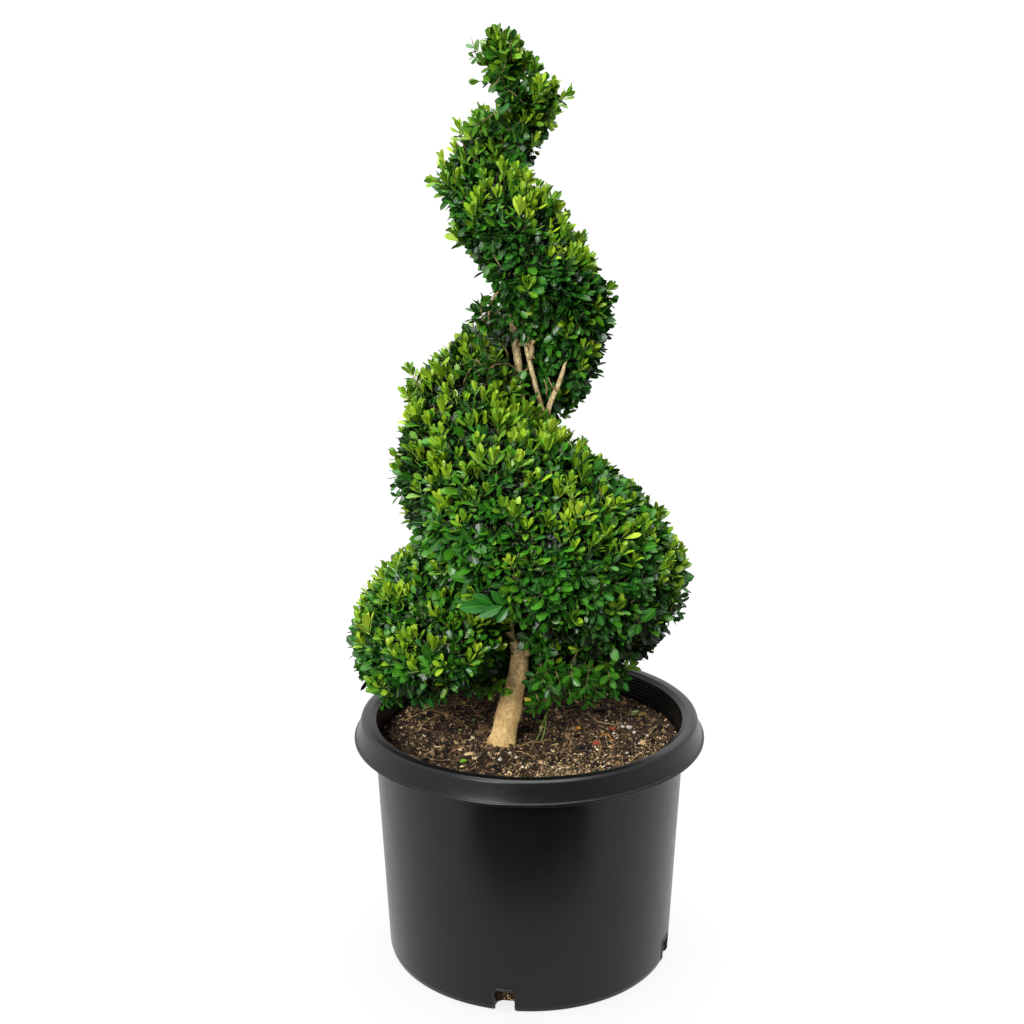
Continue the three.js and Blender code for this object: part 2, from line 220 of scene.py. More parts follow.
class Nodes:
    """A short way of wiring a procedural material."""

    def __init__(self, name, rough=0.6, spec=0.5):
        self.mat = bpy.data.materials.new(name)
        self.mat.use_nodes = True
        self.tree = self.mat.node_tree
        self.bsdf = self.tree.nodes["Principled BSDF"]
        self.bsdf.inputs["Roughness"].default_value = rough
        self.bsdf.inputs["Specular IOR Level"].default_value = spec
        self.coord = self.tree.nodes.new("ShaderNodeTexCoord").outputs["Object"]

    def node(self, kind, **props):
        n = self.tree.nodes.new(kind)
        for k, v in props.items():
            setattr(n, k, v)
        return n

    def link(self, a, b):
        self.tree.links.new(a, b)

    def scaled(self, scale):
        n = self.node("ShaderNodeMapping")
        n.inputs["Scale"].default_value = scale
        self.link(self.coord, n.inputs["Vector"])
        return n.outputs["Vector"]

    def noise(self, scale, detail=4, rough=0.55, distortion=0.0, vector=None):
        n = self.node("ShaderNodeTexNoise")
        n.inputs["Scale"].default_value = scale
        n.inputs["Detail"].default_value = detail
        n.inputs["Roughness"].default_value = rough
        n.inputs["Distortion"].default_value = distortion
        self.link(vector if vector is not None else self.coord, n.inputs["Vector"])
        return n.outputs["Fac"]

    def voronoi(self, scale, feature="F1", vector=None, out="Distance"):
        n = self.node("ShaderNodeTexVoronoi", feature=feature)
        n.inputs["Scale"].default_value = scale
        self.link(vector if vector is not None else self.coord, n.inputs["Vector"])
        return n.outputs[out]

    def ramp(self, fac, stops):
        n = self.node("ShaderNodeValToRGB")
        e = n.color_ramp.elements
        while len(e) < len(stops):
            e.new(0.5)
        for k, (pos, rgb) in enumerate(stops):
            e[k].position = pos
            e[k].color = lin(rgb) if not np.isscalar(rgb) else (rgb, rgb, rgb, 1)
        self.link(fac, n.inputs["Fac"])
        return n.outputs["Color"]

    def range(self, value, a, b, c, d):
        n = self.node("ShaderNodeMapRange")
        for key, v in (("From Min", a), ("From Max", b), ("To Min", c), ("To Max", d)):
            n.inputs[key].default_value = v
        self.link(value, n.inputs["Value"])
        return n.outputs["Result"]

    def math(self, op, a, b):
        n = self.node("ShaderNodeMath", operation=op)
        for i, v in enumerate((a, b)):
            if isinstance(v, (int, float)):
                n.inputs[i].default_value = v
            else:
                self.link(v, n.inputs[i])
        return n.outputs[0]

    def mix(self, fac, a, b, blend="MIX"):
        n = self.node("ShaderNodeMix", data_type="RGBA", blend_type=blend)
        ins = [s for s in n.inputs if s.enabled]
        for sock, v in zip((n.inputs[0], n.inputs[6], n.inputs[7]), (fac, a, b)):
            if isinstance(v, (int, float)):
                sock.default_value = v
            elif isinstance(v, tuple):
                sock.default_value = lin(v)
            else:
                self.link(v, sock)
        return n.outputs[2]

    def height(self):
        n = self.node("ShaderNodeSeparateXYZ")
        self.link(self.coord, n.inputs[0])
        return n.outputs["Z"]

    def bump(self, height, strength, distance, after=None):
        n = self.node("ShaderNodeBump")
        n.inputs["Strength"].default_value = strength
        n.inputs["Distance"].default_value = distance
        self.link(height, n.inputs["Height"])
        if after is not None:
            self.link(after, n.inputs["Normal"])
        return n.outputs["Normal"]

    def set(self, name, out):
        self.link(out, self.bsdf.inputs[name])


# leaf tints: mature greens, fresh greens, new growth, then the ribs and a few tired leaves; the near-black inner tint
# is painted shade for leaves deep in the bush, and the deep tint is both a dark green and painted shade
LEAF_ROUGH = 0.37
LEAF_TINTS = [
    ("leaf_deep_and_painted_shade", (18, 53, 12)), ("leaf_dark", (28, 74, 15)), ("leaf_green", (40, 98, 19)),
    ("leaf_bright", (56, 118, 20)), ("leaf_blue", (38, 92, 34)), ("leaf_shade", (24, 64, 17)),
    ("leaf_mid", (70, 120, 18)), ("leaf_fresh", (88, 132, 22)),
    ("leaf_lime", (112, 148, 22)), ("leaf_lime_bright", (129, 162, 28)), ("leaf_lime_yellow", (150, 174, 44)),
    ("leaf_rib", (88, 140, 54)), ("leaf_rib_fresh", (160, 194, 74)),
    ("leaf_yellowed", (186, 160, 40)), ("leaf_large", (27, 88, 18)), ("leaf_inner_painted_shade", (7, 19, 5)), ("leaf_olive", (64, 98, 14)),
]
LEAF_MATS = [plain(n, c, LEAF_ROUGH, 0.35) for n, c in LEAF_TINTS]
TINT = {n: i for i, (n, _) in enumerate(LEAF_TINTS)}

TWIG_TINTS = [("twig_tan", (146, 128, 84)), ("twig_brown", (104, 90, 56)), ("twig_green", (96, 130, 44)), ("twig_pale", (184, 168, 118))]
TWIG_MATS = [plain(n, c, 0.7) for n, c in TWIG_TINTS]


def bark_material(name, low, high, dim=1.0):
    """Pale golden bark that turns greyer between the heights low and high."""
    n = Nodes(name, 0.8, 0.25)
    grain = n.noise(520, 6, 0.68, 0.3, n.scaled((1.0, 1.0, 0.50)))
    blot = n.noise(95, 4, 0.6, 0.4, n.scaled((1, 1, 0.75)))
    speck = n.noise(1100, 3, 0.6, 0.0, n.scaled((1, 1, 0.7)))
    tan = n.ramp(grain, [(0.30, (148, 115, 70)), (0.44, (187, 152, 97)), (0.56, (205, 174, 120)), (0.72, (220, 198, 151))])
    grey = n.ramp(grain, [(0.30, (96, 82, 54)), (0.44, (160, 140, 100)), (0.56, (204, 184, 138)), (0.72, (238, 224, 184))])
    up = n.range(n.height(), low, high, 0.0, 1.0)
    up = n.math("ADD", up, n.math("MULTIPLY", n.math("SUBTRACT", blot, 0.5), 1.4))
    up = n.range(up, 0.0, 1.0, 0.0, 1.0)
    col = n.mix(up, tan, grey)
    col = n.mix(1.0 - dim, col, (70, 60, 42))
    col = n.mix(n.range(blot, 0.52, 0.66, 0.0, 0.50), col, (142, 108, 62))
    col = n.mix(n.range(speck, 0.57, 0.70, 0.0, 0.58), col, (94, 70, 42))
    n.set("Base Color", col)
    h = n.math("ADD", n.math("MULTIPLY", grain, 0.6), n.math("MULTIPLY", speck, 0.4))
    n.set("Normal", n.bump(h, 0.5, 0.0012))
    n.set("Roughness", n.range(grain, 0.3, 0.8, 0.88, 0.66))
    return n.mat


def limb_material(name):
    n = Nodes(name, 0.8, 0.3)
    grain = n.noise(500, 4, 0.6, 0.4, n.scaled((1.0, 1.0, 0.4)))
    n.set("Base Color", n.ramp(grain, [(0.3, (92, 74, 48)), (0.5, (146, 122, 84)), (0.7, (186, 162, 118))]))
    n.set("Normal", n.bump(grain, 0.4, 0.0006))
    return n.mat


def plastic_material():
    n = Nodes("black_moulded_plastic", 0.32, 0.3)
    broad = n.noise(9, 3, 0.5)
    fine = n.noise(1400, 3, 0.6)
    scuff = n.noise(60, 5, 0.7, 1.2, n.scaled((1, 1, 3.0)))
    col = n.ramp(broad, [(0.3, (7, 7, 8)), (0.7, (11, 11, 11))])
    dust = n.range(scuff, 0.62, 0.82, 0.0, 0.08)
    col = n.mix(dust, col, (84, 82, 78))
    n.set("Base Color", col)
    r = n.math("ADD", n.range(broad, 0.3, 0.7, 0.27, 0.33), n.range(scuff, 0.5, 0.8, 0.0, 0.12))
    n.set("Roughness", r)
    n.set("Normal", n.bump(fine, 0.10, 0.0004, n.bump(n.noise(22, 2, 0.5), 0.05, 0.004)))
    return n.mat


def soil_material():
    n = Nodes("potting_mix", 0.95, 0.2)
    big = n.noise(240, 6, 0.7, 0.6)
    cells = n.voronoi(640)
    fine = n.noise(1300, 4, 0.7)
    v = n.math("ADD", n.math("MULTIPLY", big, 0.55), n.math("MULTIPLY", fine, 0.45))
    col = n.ramp(v, [(0.32, (9, 6, 4)), (0.43, (32, 23, 15)), (0.52, (62, 48, 33)), (0.61, (104, 84, 60)), (0.72, (152, 128, 94))])
    n.set("Base Color", col)
    n.set("Normal", n.bump(v, 0.8, 0.003, n.bump(cells, 0.5, 0.002)))
    return n.mat


BARK = bark_material("bark_boxwood", 0.338, 0.410)
BOUGH_BARK = bark_material("bark_bough", 0.20, 0.60, 0.80)
LIMB = limb_material("bark_limb")
PLASTIC = plastic_material()
SOIL = soil_material()


# ------------------------------------------------------------------ stem and boughs as named sizes (mm)
STEM = np.array([
    [272.0, -32.5, -27.0, 17.0], [281.0, -31.0, -26.0, 15.4], [296.0, -28.4, -24.4, 15.2], [313.0, -25.2, -22.0, 15.9],
    [331.0, -21.8, -18.0, 14.2], [349.0, -16.2, -14.0, 12.0], [364.0, -13.2, -10.0, 12.2], [383.0, -12.6, -6.0, 10.0],
    [397.0, -19.6, -5.0, 8.2], [414.0, -26.0, -4.0, 7.8], [470.0, -25.0, 0.0, 7.4], [600.0, -15.0, 1.0, 6.6],
    [690.0, -10.5, 0.0, 6.2], [729.0, -12.0, 0.0, 5.9], [781.0, -18.0, 0.0, 5.6], [880.0, -19.0, 0.0, 4.8],
    [960.0, -16.0, 0.0, 4.3], [1002.0, -12.0, 0.0, 3.8], [1050.0, -20.0, 0.0, 3.0], [1092.0, -27.0, 0.0, 1.8]])
BOUGHS = {
    "bough_low_right": ([[-14, -6, 374], [-3, -6.5, 385], [7, -7, 394], [17, -8, 402]], 6.8, 4.6),
    "bough_groove_left": ([[20, -13, 668], [15.5, -12, 684], [4.7, -9, 723], [-5.4, -6, 767], [-8.5, -5, 790]], 4.4, 3.0),
    "bough_groove_right": ([[20, -13, 668], [24, -12, 690], [34, -10, 714], [43.5, -8, 744], [47, -7, 762]], 4.6, 3.0),
}


def stem_at(z):
    """Centre x, y and radius of the stem at heights z, in mm."""
    rows = STEM
    xs = rows[:, 0]
    slope = np.empty_like(rows)
    for i in range(len(rows)):
        a, b = rows[max(0, i - 1)], rows[min(len(rows) - 1, i + 1)]
        slope[i] = (b - a) / (b[0] - a[0])
    z = np.asarray(z, float)
    i = np.clip(np.searchsorted(xs, z, side="right") - 1, 0, len(xs) - 2)
    h = xs[i + 1] - xs[i]
    t = np.clip((z - xs[i]) / h, 0, 1)[..., None]
    h = h[..., None]
    t2, t3 = t * t, t * t * t
    out = (2 * t3 - 3 * t2 + 1) * rows[i] + (t3 - 2 * t2 + t) * h * slope[i] + (3 * t2 - 2 * t3) * rows[i + 1] + (t3 - t2) * h * slope[i + 1]
    return out[..., 1:]


def bezier_path(points, n):
    """n points evenly along a smooth curve through the given ones."""
    p = np.array(points, float)
    ext = np.vstack([2 * p[0] - p[1], p, 2 * p[-1] - p[-2]])
    out = []
    for i in range(1, len(ext) - 2):
        for t in np.linspace(0, 1, 12, endpoint=False):
            a, b, c, d = ext[i - 1], ext[i], ext[i + 1], ext[i + 2]
            out.append(0.5 * (2 * b + (c - a) * t + (2 * a - 5 * b + 4 * c - d) * t * t + (3 * b - a - 3 * c + d) * t ** 3))
    out.append(p[-1])
    out = np.array(out)
    s = np.concatenate([[0], np.cumsum(np.linalg.norm(np.diff(out, axis=0), axis=1))])
    u = np.linspace(0, s[-1], n)
    return np.stack([np.interp(u, s, out[:, k]) for k in range(3)], -1)


# ------------------------------------------------------------------ where the foliage is
GRID_H = 0.004
GRID_LO = np.array([-0.252, -0.252, 0.296])
GRID_N = (126, 126, 212)


def fill_grid():
    label = np.zeros(GRID_N, np.int16)
    for k, name in enumerate([*MASSES, "trunk"], 1):
        me = NODES[name].data
        tree = BVHTree.FromPolygons([v.co.copy() for v in me.vertices], [tuple(p.vertices) for p in me.polygons])
        a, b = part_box(name)
        ix0, iy0 = (int(math.floor((a[i] - GRID_LO[i]) / GRID_H)) for i in (0, 1))
        ix1, iy1 = (int(math.ceil((b[i] - GRID_LO[i]) / GRID_H)) for i in (0, 1))
        down = Vector((0, 0, -1))
        for ix in range(max(0, ix0), min(GRID_N[0], ix1 + 1)):
            for iy in range(max(0, iy0), min(GRID_N[1], iy1 + 1)):
                x = GRID_LO[0] + (ix + 0.503) * GRID_H
                y = GRID_LO[1] + (iy + 0.497) * GRID_H
                z, hits = b.z + 0.01, []
                while len(hits) < 12:
                    loc, _, _, _ = tree.ray_cast(Vector((x, y, z)), down)
                    if loc is None:
                        break
                    hits.append(loc.z)
                    z = loc.z - 2e-5
                for top, bottom in zip(hits[::2], hits[1::2]):
                    i0 = int(math.ceil((bottom - GRID_LO[2]) / GRID_H - 0.5))
                    i1 = int(math.floor((top - GRID_LO[2]) / GRID_H - 0.5))
                    if i1 >= i0:
                        if name == "trunk":
                            seg = label[ix, iy, max(i0, 24):i1 + 1]
                            seg[seg == 0] = k
                        else:
                            label[ix, iy, max(i0, 0):i1 + 1] = k
    return label


LABEL = fill_grid()
FIELD = (LABEL > 0).astype(np.float32)
for _ in range(2):
    for axis in range(3):
        FIELD = 0.5 * FIELD + 0.25 * (np.roll(FIELD, 1, axis) + np.roll(FIELD, -1, axis))
GRAD = np.stack(np.gradient(FIELD, GRID_H), -1).astype(np.float32)


def sample(grid, p):
    """Trilinear value of a grid at points p."""
    q = (np.asarray(p, float) - GRID_LO) / GRID_H - 0.5
    q = np.clip(q, 0, np.array(GRID_N) - 1.001)
    i = np.floor(q).astype(np.int64)
    f = q - i
    out = 0
    for dx in (0, 1):
        for dy in (0, 1):
            for dz in (0, 1):
                w = (f[..., 0] if dx else 1 - f[..., 0]) * (f[..., 1] if dy else 1 - f[..., 1]) * (f[..., 2] if dz else 1 - f[..., 2])
                v = grid[i[..., 0] + dx, i[..., 1] + dy, i[..., 2] + dz]
                out = out + (w[..., None] * v if v.ndim > w.ndim else w * v)
    return out


def label_at(p):
    i = np.clip(np.floor((p - GRID_LO) / GRID_H).astype(int), 0, np.array(GRID_N) - 1)
    return LABEL[i[:, 0], i[:, 1], i[:, 2]]


def thin(points, radius, order):
    """Indices of points picked in the given order so that none are closer than radius."""
    tree = kdtree.KDTree(len(points))
    for i, p in enumerate(points):
        tree.insert(p, i)
    tree.balance()
    alive = np.ones(len(points), bool)
    picked = []
    r = np.broadcast_to(np.asarray(radius, float), (len(points),))
    for i in order:
        if alive[i]:
            picked.append(i)
            for _, j, _ in tree.find_range(points[i], r[i]):
                alive[j] = False
    return np.array(picked)


rng = np.random.default_rng(20)

# points on the clipped surface, with outward normals
edge = np.argwhere((FIELD > 0.3) & (FIELD < 0.7))
cand = GRID_LO + (np.repeat(edge, 2, 0) + rng.random((len(edge) * 2, 3))) * GRID_H
for _ in range(3):
    g = sample(GRAD, cand)
    gl = np.maximum((g * g).sum(-1, keepdims=True), 1e3)
    cand = cand - np.clip((sample(FIELD, cand) - 0.5)[:, None] * g / gl, -0.003, 0.003)
g = sample(GRAD, cand)
normal = -unit(g)
ok = (np.abs(sample(FIELD, cand) - 0.5) < 0.08) & (np.linalg.norm(g, axis=1) > 40)
cand, normal = cand[ok], normal[ok]


def inward(p, n, deepest):
    """Moves points in along the normal as far as the mass is thick there."""
    out = p - n * 0.008
    done = np.zeros(len(p), bool)
    for d in np.arange(deepest, 0.008, -0.003):
        q = p - n * d
        fit = ~done & (sample(FIELD, q) > 0.86)
        out[fit] = q[fit]
        done |= fit
    return out


# ------------------------------------------------------------------ branch skeleton
order = rng.permutation(len(cand))
hub_i = thin(cand, 0.026, order)
hubs = inward(cand[hub_i], normal[hub_i], 0.030)
keep = thin(hubs, 0.016, range(len(hubs)))
hubs = hubs[keep]
axis_xy = stem_at(hubs[:, 2] * 1000)[:, :2] * 0.001
hubs = hubs[(hubs[:, 2] < 1.055) | (np.linalg.norm(hubs[:, :2] - axis_xy, axis=1) < 0.016) & (hubs[:, 2] < 1.090)]

stem_z = np.arange(392, 1092, 5.0)
st = stem_at(stem_z)
node_p = [np.array([x, y, z]) * 0.001 for (x, y, r), z in zip(st, stem_z)]
node_len = [0.02 * i / len(node_p) for i in range(len(node_p))]
node_parent = [-1] * len(node_p)
node_dir = [np.array([0, 0, 1.0])] * len(node_p)
for key, (pts, r0, r1) in BOUGHS.items():
    end = np.array(pts[-1]) * 0.001
    back = np.array(pts[-2]) * 0.001
    node_p.append(end)
    node_len.append(0.03)
    node_parent.append(-1)
    node_dir.append(unit(end - back))
n_root = len(node_p)
chains = []
arr_p = np.zeros((20000, 3))
arr_l = np.zeros(20000)
count = n_root
arr_p[:count] = node_p
arr_l[:count] = node_len
dist_trunk = np.array([np.min(np.linalg.norm(arr_p[:n_root] - h, axis=1)) for h in hubs])
for hi in np.argsort(dist_trunk):
    h = hubs[hi]
    d = arr_p[:count] - h
    dist = np.linalg.norm(d, axis=1)
    steep = (arr_p[:count, 2] - h[2]) / np.maximum(dist, 1e-6)      # a limb seldom runs down
    cost = dist * (1 + 0.35 * np.clip(steep, 0, 1)) + 0.32 * arr_l[:count]
    best, pick = 1e9, -1
    for j in np.argsort(cost)[:14]:
        line = arr_p[j] + (h - arr_p[j]) * np.array([0.25, 0.5, 0.75])[:, None]
        c = cost[j] + 0.08 * np.clip(0.5 - sample(FIELD, line).min(), 0, 1)
        if c < best:
            best, pick = c, j
    p0 = arr_p[pick]
    length = float(np.linalg.norm(h - p0))
    if length < 0.004:
        continue
    outdir = unit(h - p0)
    pull = node_dir[pick] * 0.45 + outdir * 0.6 + np.array([0, 0, 0.12])
    ctrl = p0 + unit(pull) * length * 0.5
    k = max(2, int(math.ceil(length / 0.009)))
    t = np.linspace(0, 1, k + 1)[:, None]
    path = (1 - t) ** 2 * p0 + 2 * t * (1 - t) * ctrl + t * t * h
    path[1:-1] += rng.normal(0, 0.0009, (k - 1, 3))
    ids = [pick]
    for q in range(1, k + 1):
        arr_p[count] = path[q]
        arr_l[count] = arr_l[ids[-1]] + length / k
        node_parent.append(ids[-1])
        node_dir.append(unit(path[q] - path[q - 1]))
        ids.append(count)
        count += 1
    chains.append(ids)
skel = arr_p[:count].copy()
load = np.zeros(count)
leafy = set(c[-1] for c in chains)
for i in range(count - 1, n_root - 1, -1):
    own = 0.0011 ** 2.3 if i in leafy else 0.0
    load[i] += own
    load[node_parent[i]] += load[i]
radius = np.maximum(load, 1e-12) ** (1 / 2.3)
radius = np.clip(radius, 0.0008, 0.0062)
radius = np.minimum(radius, np.interp(skel[:, 2], [0.97, 1.02], [0.0062, 0.0010]))      # only twigs near the top
radius = np.where((skel[:, 2] > 0.998) & (skel[:, 0] < -0.030), np.minimum(radius, 0.0005), radius)

limbs, fine_twigs = Bag(), Bag()
for ids in chains:
    ids = list(ids)
    pts = skel[ids]
    r = radius[ids].copy()
    r[0] = r[1]
    sides = 7 if r[0] > 0.0024 else 5
    V, T = tubes(pts[None], r[None], sides)
    limbs.add(V, T, 0)
def odd_limb(points, radii, sides=8):
    path = bezier_path(points, 3 * len(points)) * 0.001
    r = np.interp(np.linspace(0, 1, len(path)), np.linspace(0, 1, len(radii)), radii) * 0.001
    limbs.add(*tubes(path[None], r[None], sides), 0)


odd_limb([[-13, -6, 759], [-7, -10, 761.5], [-1, -13, 762.5], [4, -15, 763.5], [6, -15.5, 766]], [3.0, 2.5, 2.8, 3.2, 2.0], 10)      # short level stub, and the knot below it
odd_limb([[2, -13, 763], [3.5, -14, 757], [2.5, -14, 750], [1, -12, 743]], [2.2, 3.0, 2.7, 1.8], 10)
odd_limb([[20, -15, 702], [20, -21, 712], [17, -22, 722]], [0.9, 0.8, 0.5], 5)
odd_limb([[32, -13, 706], [26, -20, 714], [22, -23, 724]], [0.9, 0.8, 0.5], 5)
odd_limb([[6, -12, 744], [1, -15, 757], [-1, -18, 771], [4, -22, 786]], [1.3, 1.1, 0.9, 0.6], 6)
odd_limb([[43, -10, 742], [50, -16, 757], [53, -22, 770]], [1.6, 1.2, 0.8], 6)
limb_ob = limbs.build("limbs", [LIMB])
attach(limb_ob, "root")

# ------------------------------------------------------------------ leaf outlines
def template(sections, rib):
    """Leaf outline as rows (t, half width); with rib, a pale strip runs along the middle.
    Returns t, y (signed share of the half width), triangles and whether each is rib."""
    t, y, tri, is_rib = [], [], [], []
    if rib:
        t += [0, 0]
        y += [-0.07, 0.07]
        prev = [0, None, None, 1]
        rows = [(0, None, None, 1)]
        for s, w in sections:
            i = len(t)
            rw = 0.085 - 0.045 * s
            t += [s, s, s, s]
            y += [-w, -rw, rw, w]
            rows.append((i, i + 1, i + 2, i + 3))
        tip = len(t)
        t.append(1.0)
        y.append(0.0)
        a, b = rows[0], rows[1]
        tri += [(0, b[0], b[1]), (1, b[2], b[3])]
        is_rib += [0, 0]
        tri += [(0, b[1], b[2]), (0, b[2], 1)]
        is_rib += [1, 1]
        for a, b in zip(rows[1:-1], rows[2:]):
            for c in range(3):
                tri += [(a[c], b[c], b[c + 1]), (a[c], b[c + 1], a[c + 1])]
                is_rib += [c == 1] * 2
        a = rows[-1]
        tri += [(a[0], tip, a[1]), (a[2], tip, a[3]), (a[1], tip, a[2])]
        is_rib += [0, 0, 1]
    else:
        t.append(0.0)
        y.append(0.0)
        rows = []
        for s, w in sections:
            i = len(t)
            t += [s, s, s]
            y += [-w, 0.0, w]
            rows.append((i, i + 1, i + 2))
        tip = len(t)
        t.append(1.0)
        y.append(0.0)
        b = rows[0]
        tri += [(0, b[0], b[1]), (0, b[1], b[2])]
        for a, b in zip(rows[:-1], rows[1:]):
            for c in range(2):
                tri += [(a[c], b[c], b[c + 1]), (a[c], b[c + 1], a[c + 1])]
        a = rows[-1]
        tri += [(a[0], tip, a[1]), (a[1], tip, a[2])]
        is_rib = [0] * len(tri)
    tri = np.array(tri)[:, ::-1]                      # upper face towards +normal
    return np.array(t), np.array(y), tri, np.array(is_rib, bool)


FINE = template([(0.17, 0.60), (0.50, 1.0), (0.82, 0.78)], True)
FINE_NEW = template([(0.22, 0.50), (0.58, 1.0), (0.86, 0.74)], True)
COARSE = template([(0.30, 0.82), (0.74, 0.90)], False)
LARGE = template([(0.12, 0.45), (0.32, 0.88), (0.55, 1.0), (0.78, 0.74), (0.92, 0.36)], True)


def lay_leaves(tpl, base, axis, nrm, L, W, cup, curl, wave=None):
    t, y, tri, rib = tpl
    nrm = unit(nrm - (nrm * axis).sum(-1, keepdims=True) * axis)
    side = np.cross(nrm, axis)
    x = t[None] * L[:, None]
    yy = y[None] * W[:, None] * 0.5
    z = -cup[:, None] * (y[None] ** 2) * W[:, None] * 0.5 - curl[:, None] * (t[None] ** 2) * L[:, None]
    z = z + (np.abs(y[None]) < 0.001) * 0.0
    V = base[:, None] + axis[:, None] * x[..., None] + side[:, None] * yy[..., None] + nrm[:, None] * z[..., None]
    T = tri[None] + (np.arange(len(base)) * len(t))[:, None, None]
    return V.reshape(-1, 3), T.reshape(-1, 3), np.broadcast_to(rib, (len(base), len(tri))).reshape(-1)


# ------------------------------------------------------------------ shoots
order = rng.permutation(len(cand))
spacing = 0.0093 + 0.0016 * smooth(1.00, 1.05, cand[:, 2])
tip_i = thin(cand, spacing, order)
S, N = cand[tip_i], normal[tip_i]
n_shoot = len(S)
mass_of = label_at(S - N * 0.006)
alt = label_at(S - N * 0.012)
mass_of = np.where((mass_of == 0) | (mass_of > len(MASSES)), alt, mass_of)
centres = np.array([np.mean([list(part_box(n)[0]), list(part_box(n)[1])], axis=0) for n in MASSES])
bad = (mass_of == 0) | (mass_of > len(MASSES))
if bad.any():
    near = np.argmin(np.linalg.norm(S[bad][:, None] - centres[None], axis=-1), axis=1) + 1
    mass_of[bad] = near

UP = np.array([0, 0, 1.0])
nz = N[:, 2]
# underside shoots are sparser
drop = rng.random(n_shoot) < 0.30 * smooth(0.25, 0.8, -nz) + 0.2 * smooth(1.06, 1.09, S[:, 2])
S, N, nz, mass_of = S[~drop], N[~drop], nz[~drop], mass_of[~drop]
n_shoot = len(S)

# how loose the outline is: patches where shoots stand out or sit back a little
patch = fractal(S, 22, 5, 2)
loose = fractal(S, 34, 9, 2)
top_end = smooth(1.02, 1.09, S[:, 2])
MORE_NEW = {"foliage_middle_left": 1.54, "foliage_lower_front": 1.08, "foliage_lower_right": 1.25, "foliage_bottom_left": 0.78, "foliage_tip": 3.2,
            "foliage_upper_front": 1.38, "foliage_top_front": 0.95, "foliage_top_right": 1.8, "foliage_top_back": 1.3, "foliage_middle_right": 1.7,
            "foliage_upper_left": 1.2}
PULL_IN = {"foliage_middle_left": 0.0070, "foliage_middle_back": 0.0060, "foliage_tip": 0.0040, "foliage_top_front": 0.0070,
           "foliage_top_right": 0.0040, "foliage_upper_left": 0.0040, "foliage_upper_front": 0.0025, "foliage_middle_right": 0.0025}
more = np.array([1.0] + [MORE_NEW.get(n, 1.0) for n in MASSES] + [1.0])[mass_of]
pull = np.array([0.0] + [PULL_IN.get(n, 0.0005) + 0.0010 for n in MASSES] + [0.0])[mass_of]
pull = pull + 0.0040 * ((S[:, 0] > 0) & (S[:, 0] < 0.062) & (S[:, 2] > 0.875) & (S[:, 2] < 0.962) & (nz > 0.05))
pull = pull + 0.0040 * ((S[:, 0] > -0.097) & (S[:, 0] < -0.026) & (S[:, 2] > 0.985) & (S[:, 2] < 1.045) & (nz > 0.0))
low_left = mass_of == MASSES.index("foliage_bottom_left") + 1
more = more * np.where(low_left, np.interp(S[:, 0], [-0.165, -0.125], [1.7, 0.7]), 1.0)
p_new = 0.035 + 0.014 * (S[:, 2] < 0.52) + 0.31 * smooth(-0.10, 0.75, nz) + 0.06 * smooth(0.85, 1.0, S[:, 2])
clump = np.clip(1 + 1.5 * patch + 1.9 * fractal(S, 46, 13, 1), 0.06, 3.4)
p_new *= clump / clump.mean() * more * (1 + 0.25 * smooth(0.64, 0.70, S[:, 2]) * (S[:, 2] < 0.80) - 0.2 * smooth(0.64, 0.58, S[:, 2]) * (nz > -0.2))
fresh = rng.random(n_shoot) < p_new
half = (~fresh) & (rng.random(n_shoot) < 0.26 + 0.25 * smooth(0, 0.8, nz))     # mid-green shoots

jit = rng.normal(0, 1, (n_shoot, 3))
upness = 0.55 * smooth(-0.7, 0.15, nz)
d_old = unit(N * 0.70 + UP * upness[:, None] + jit * 0.34)
d_new = unit(N * 0.42 + UP * 1.0 + jit * 0.15)
d = np.where(fresh[:, None], d_new, d_old)
depth = np.where(fresh, rng.uniform(-0.002, 0.012, n_shoot), rng.uniform(0.0070, 0.0150, n_shoot)) - 0.0035 * loose + 0.006 * top_end + pull
tip = S - N * depth[:, None] + UP * np.where(fresh, rng.uniform(-0.002, 0.004, n_shoot), 0)[:, None]
# the left shoulder of the middle coil is clipped lower than the mass is
shoulder = np.isin(mass_of, [MASSES.index("foliage_middle_left") + 1, MASSES.index("foliage_middle_back") + 1])
limit = np.interp(tip[:, 0], [-0.145, -0.104, -0.078, -0.060, 0.02], [0.712, 0.735, 0.757, 0.772, 0.782]) + rng.normal(0, 0.003, n_shoot)
over_top = shoulder & (tip[:, 1] > -0.06)
tip[:, 2] -= np.where(over_top, np.maximum(tip[:, 2] - np.where(fresh, limit, limit - 0.003), 0), 0)

# base of each shoot on the skeleton
tree = kdtree.KDTree(count - n_root)
for i in range(n_root, count):
    tree.insert(skel[i], i)
tree.balance()
base = np.empty((n_shoot, 3))
for i in range(n_shoot):
    back = tip[i] - d[i] * 0.026
    found = tree.find_n(back, 3)
    _, j, _ = found[int(rng.integers(0, len(found)))] if rng.random() < 0.3 else found[0]
    base[i] = skel[j]
reach = np.linalg.norm(tip - base, axis=1)
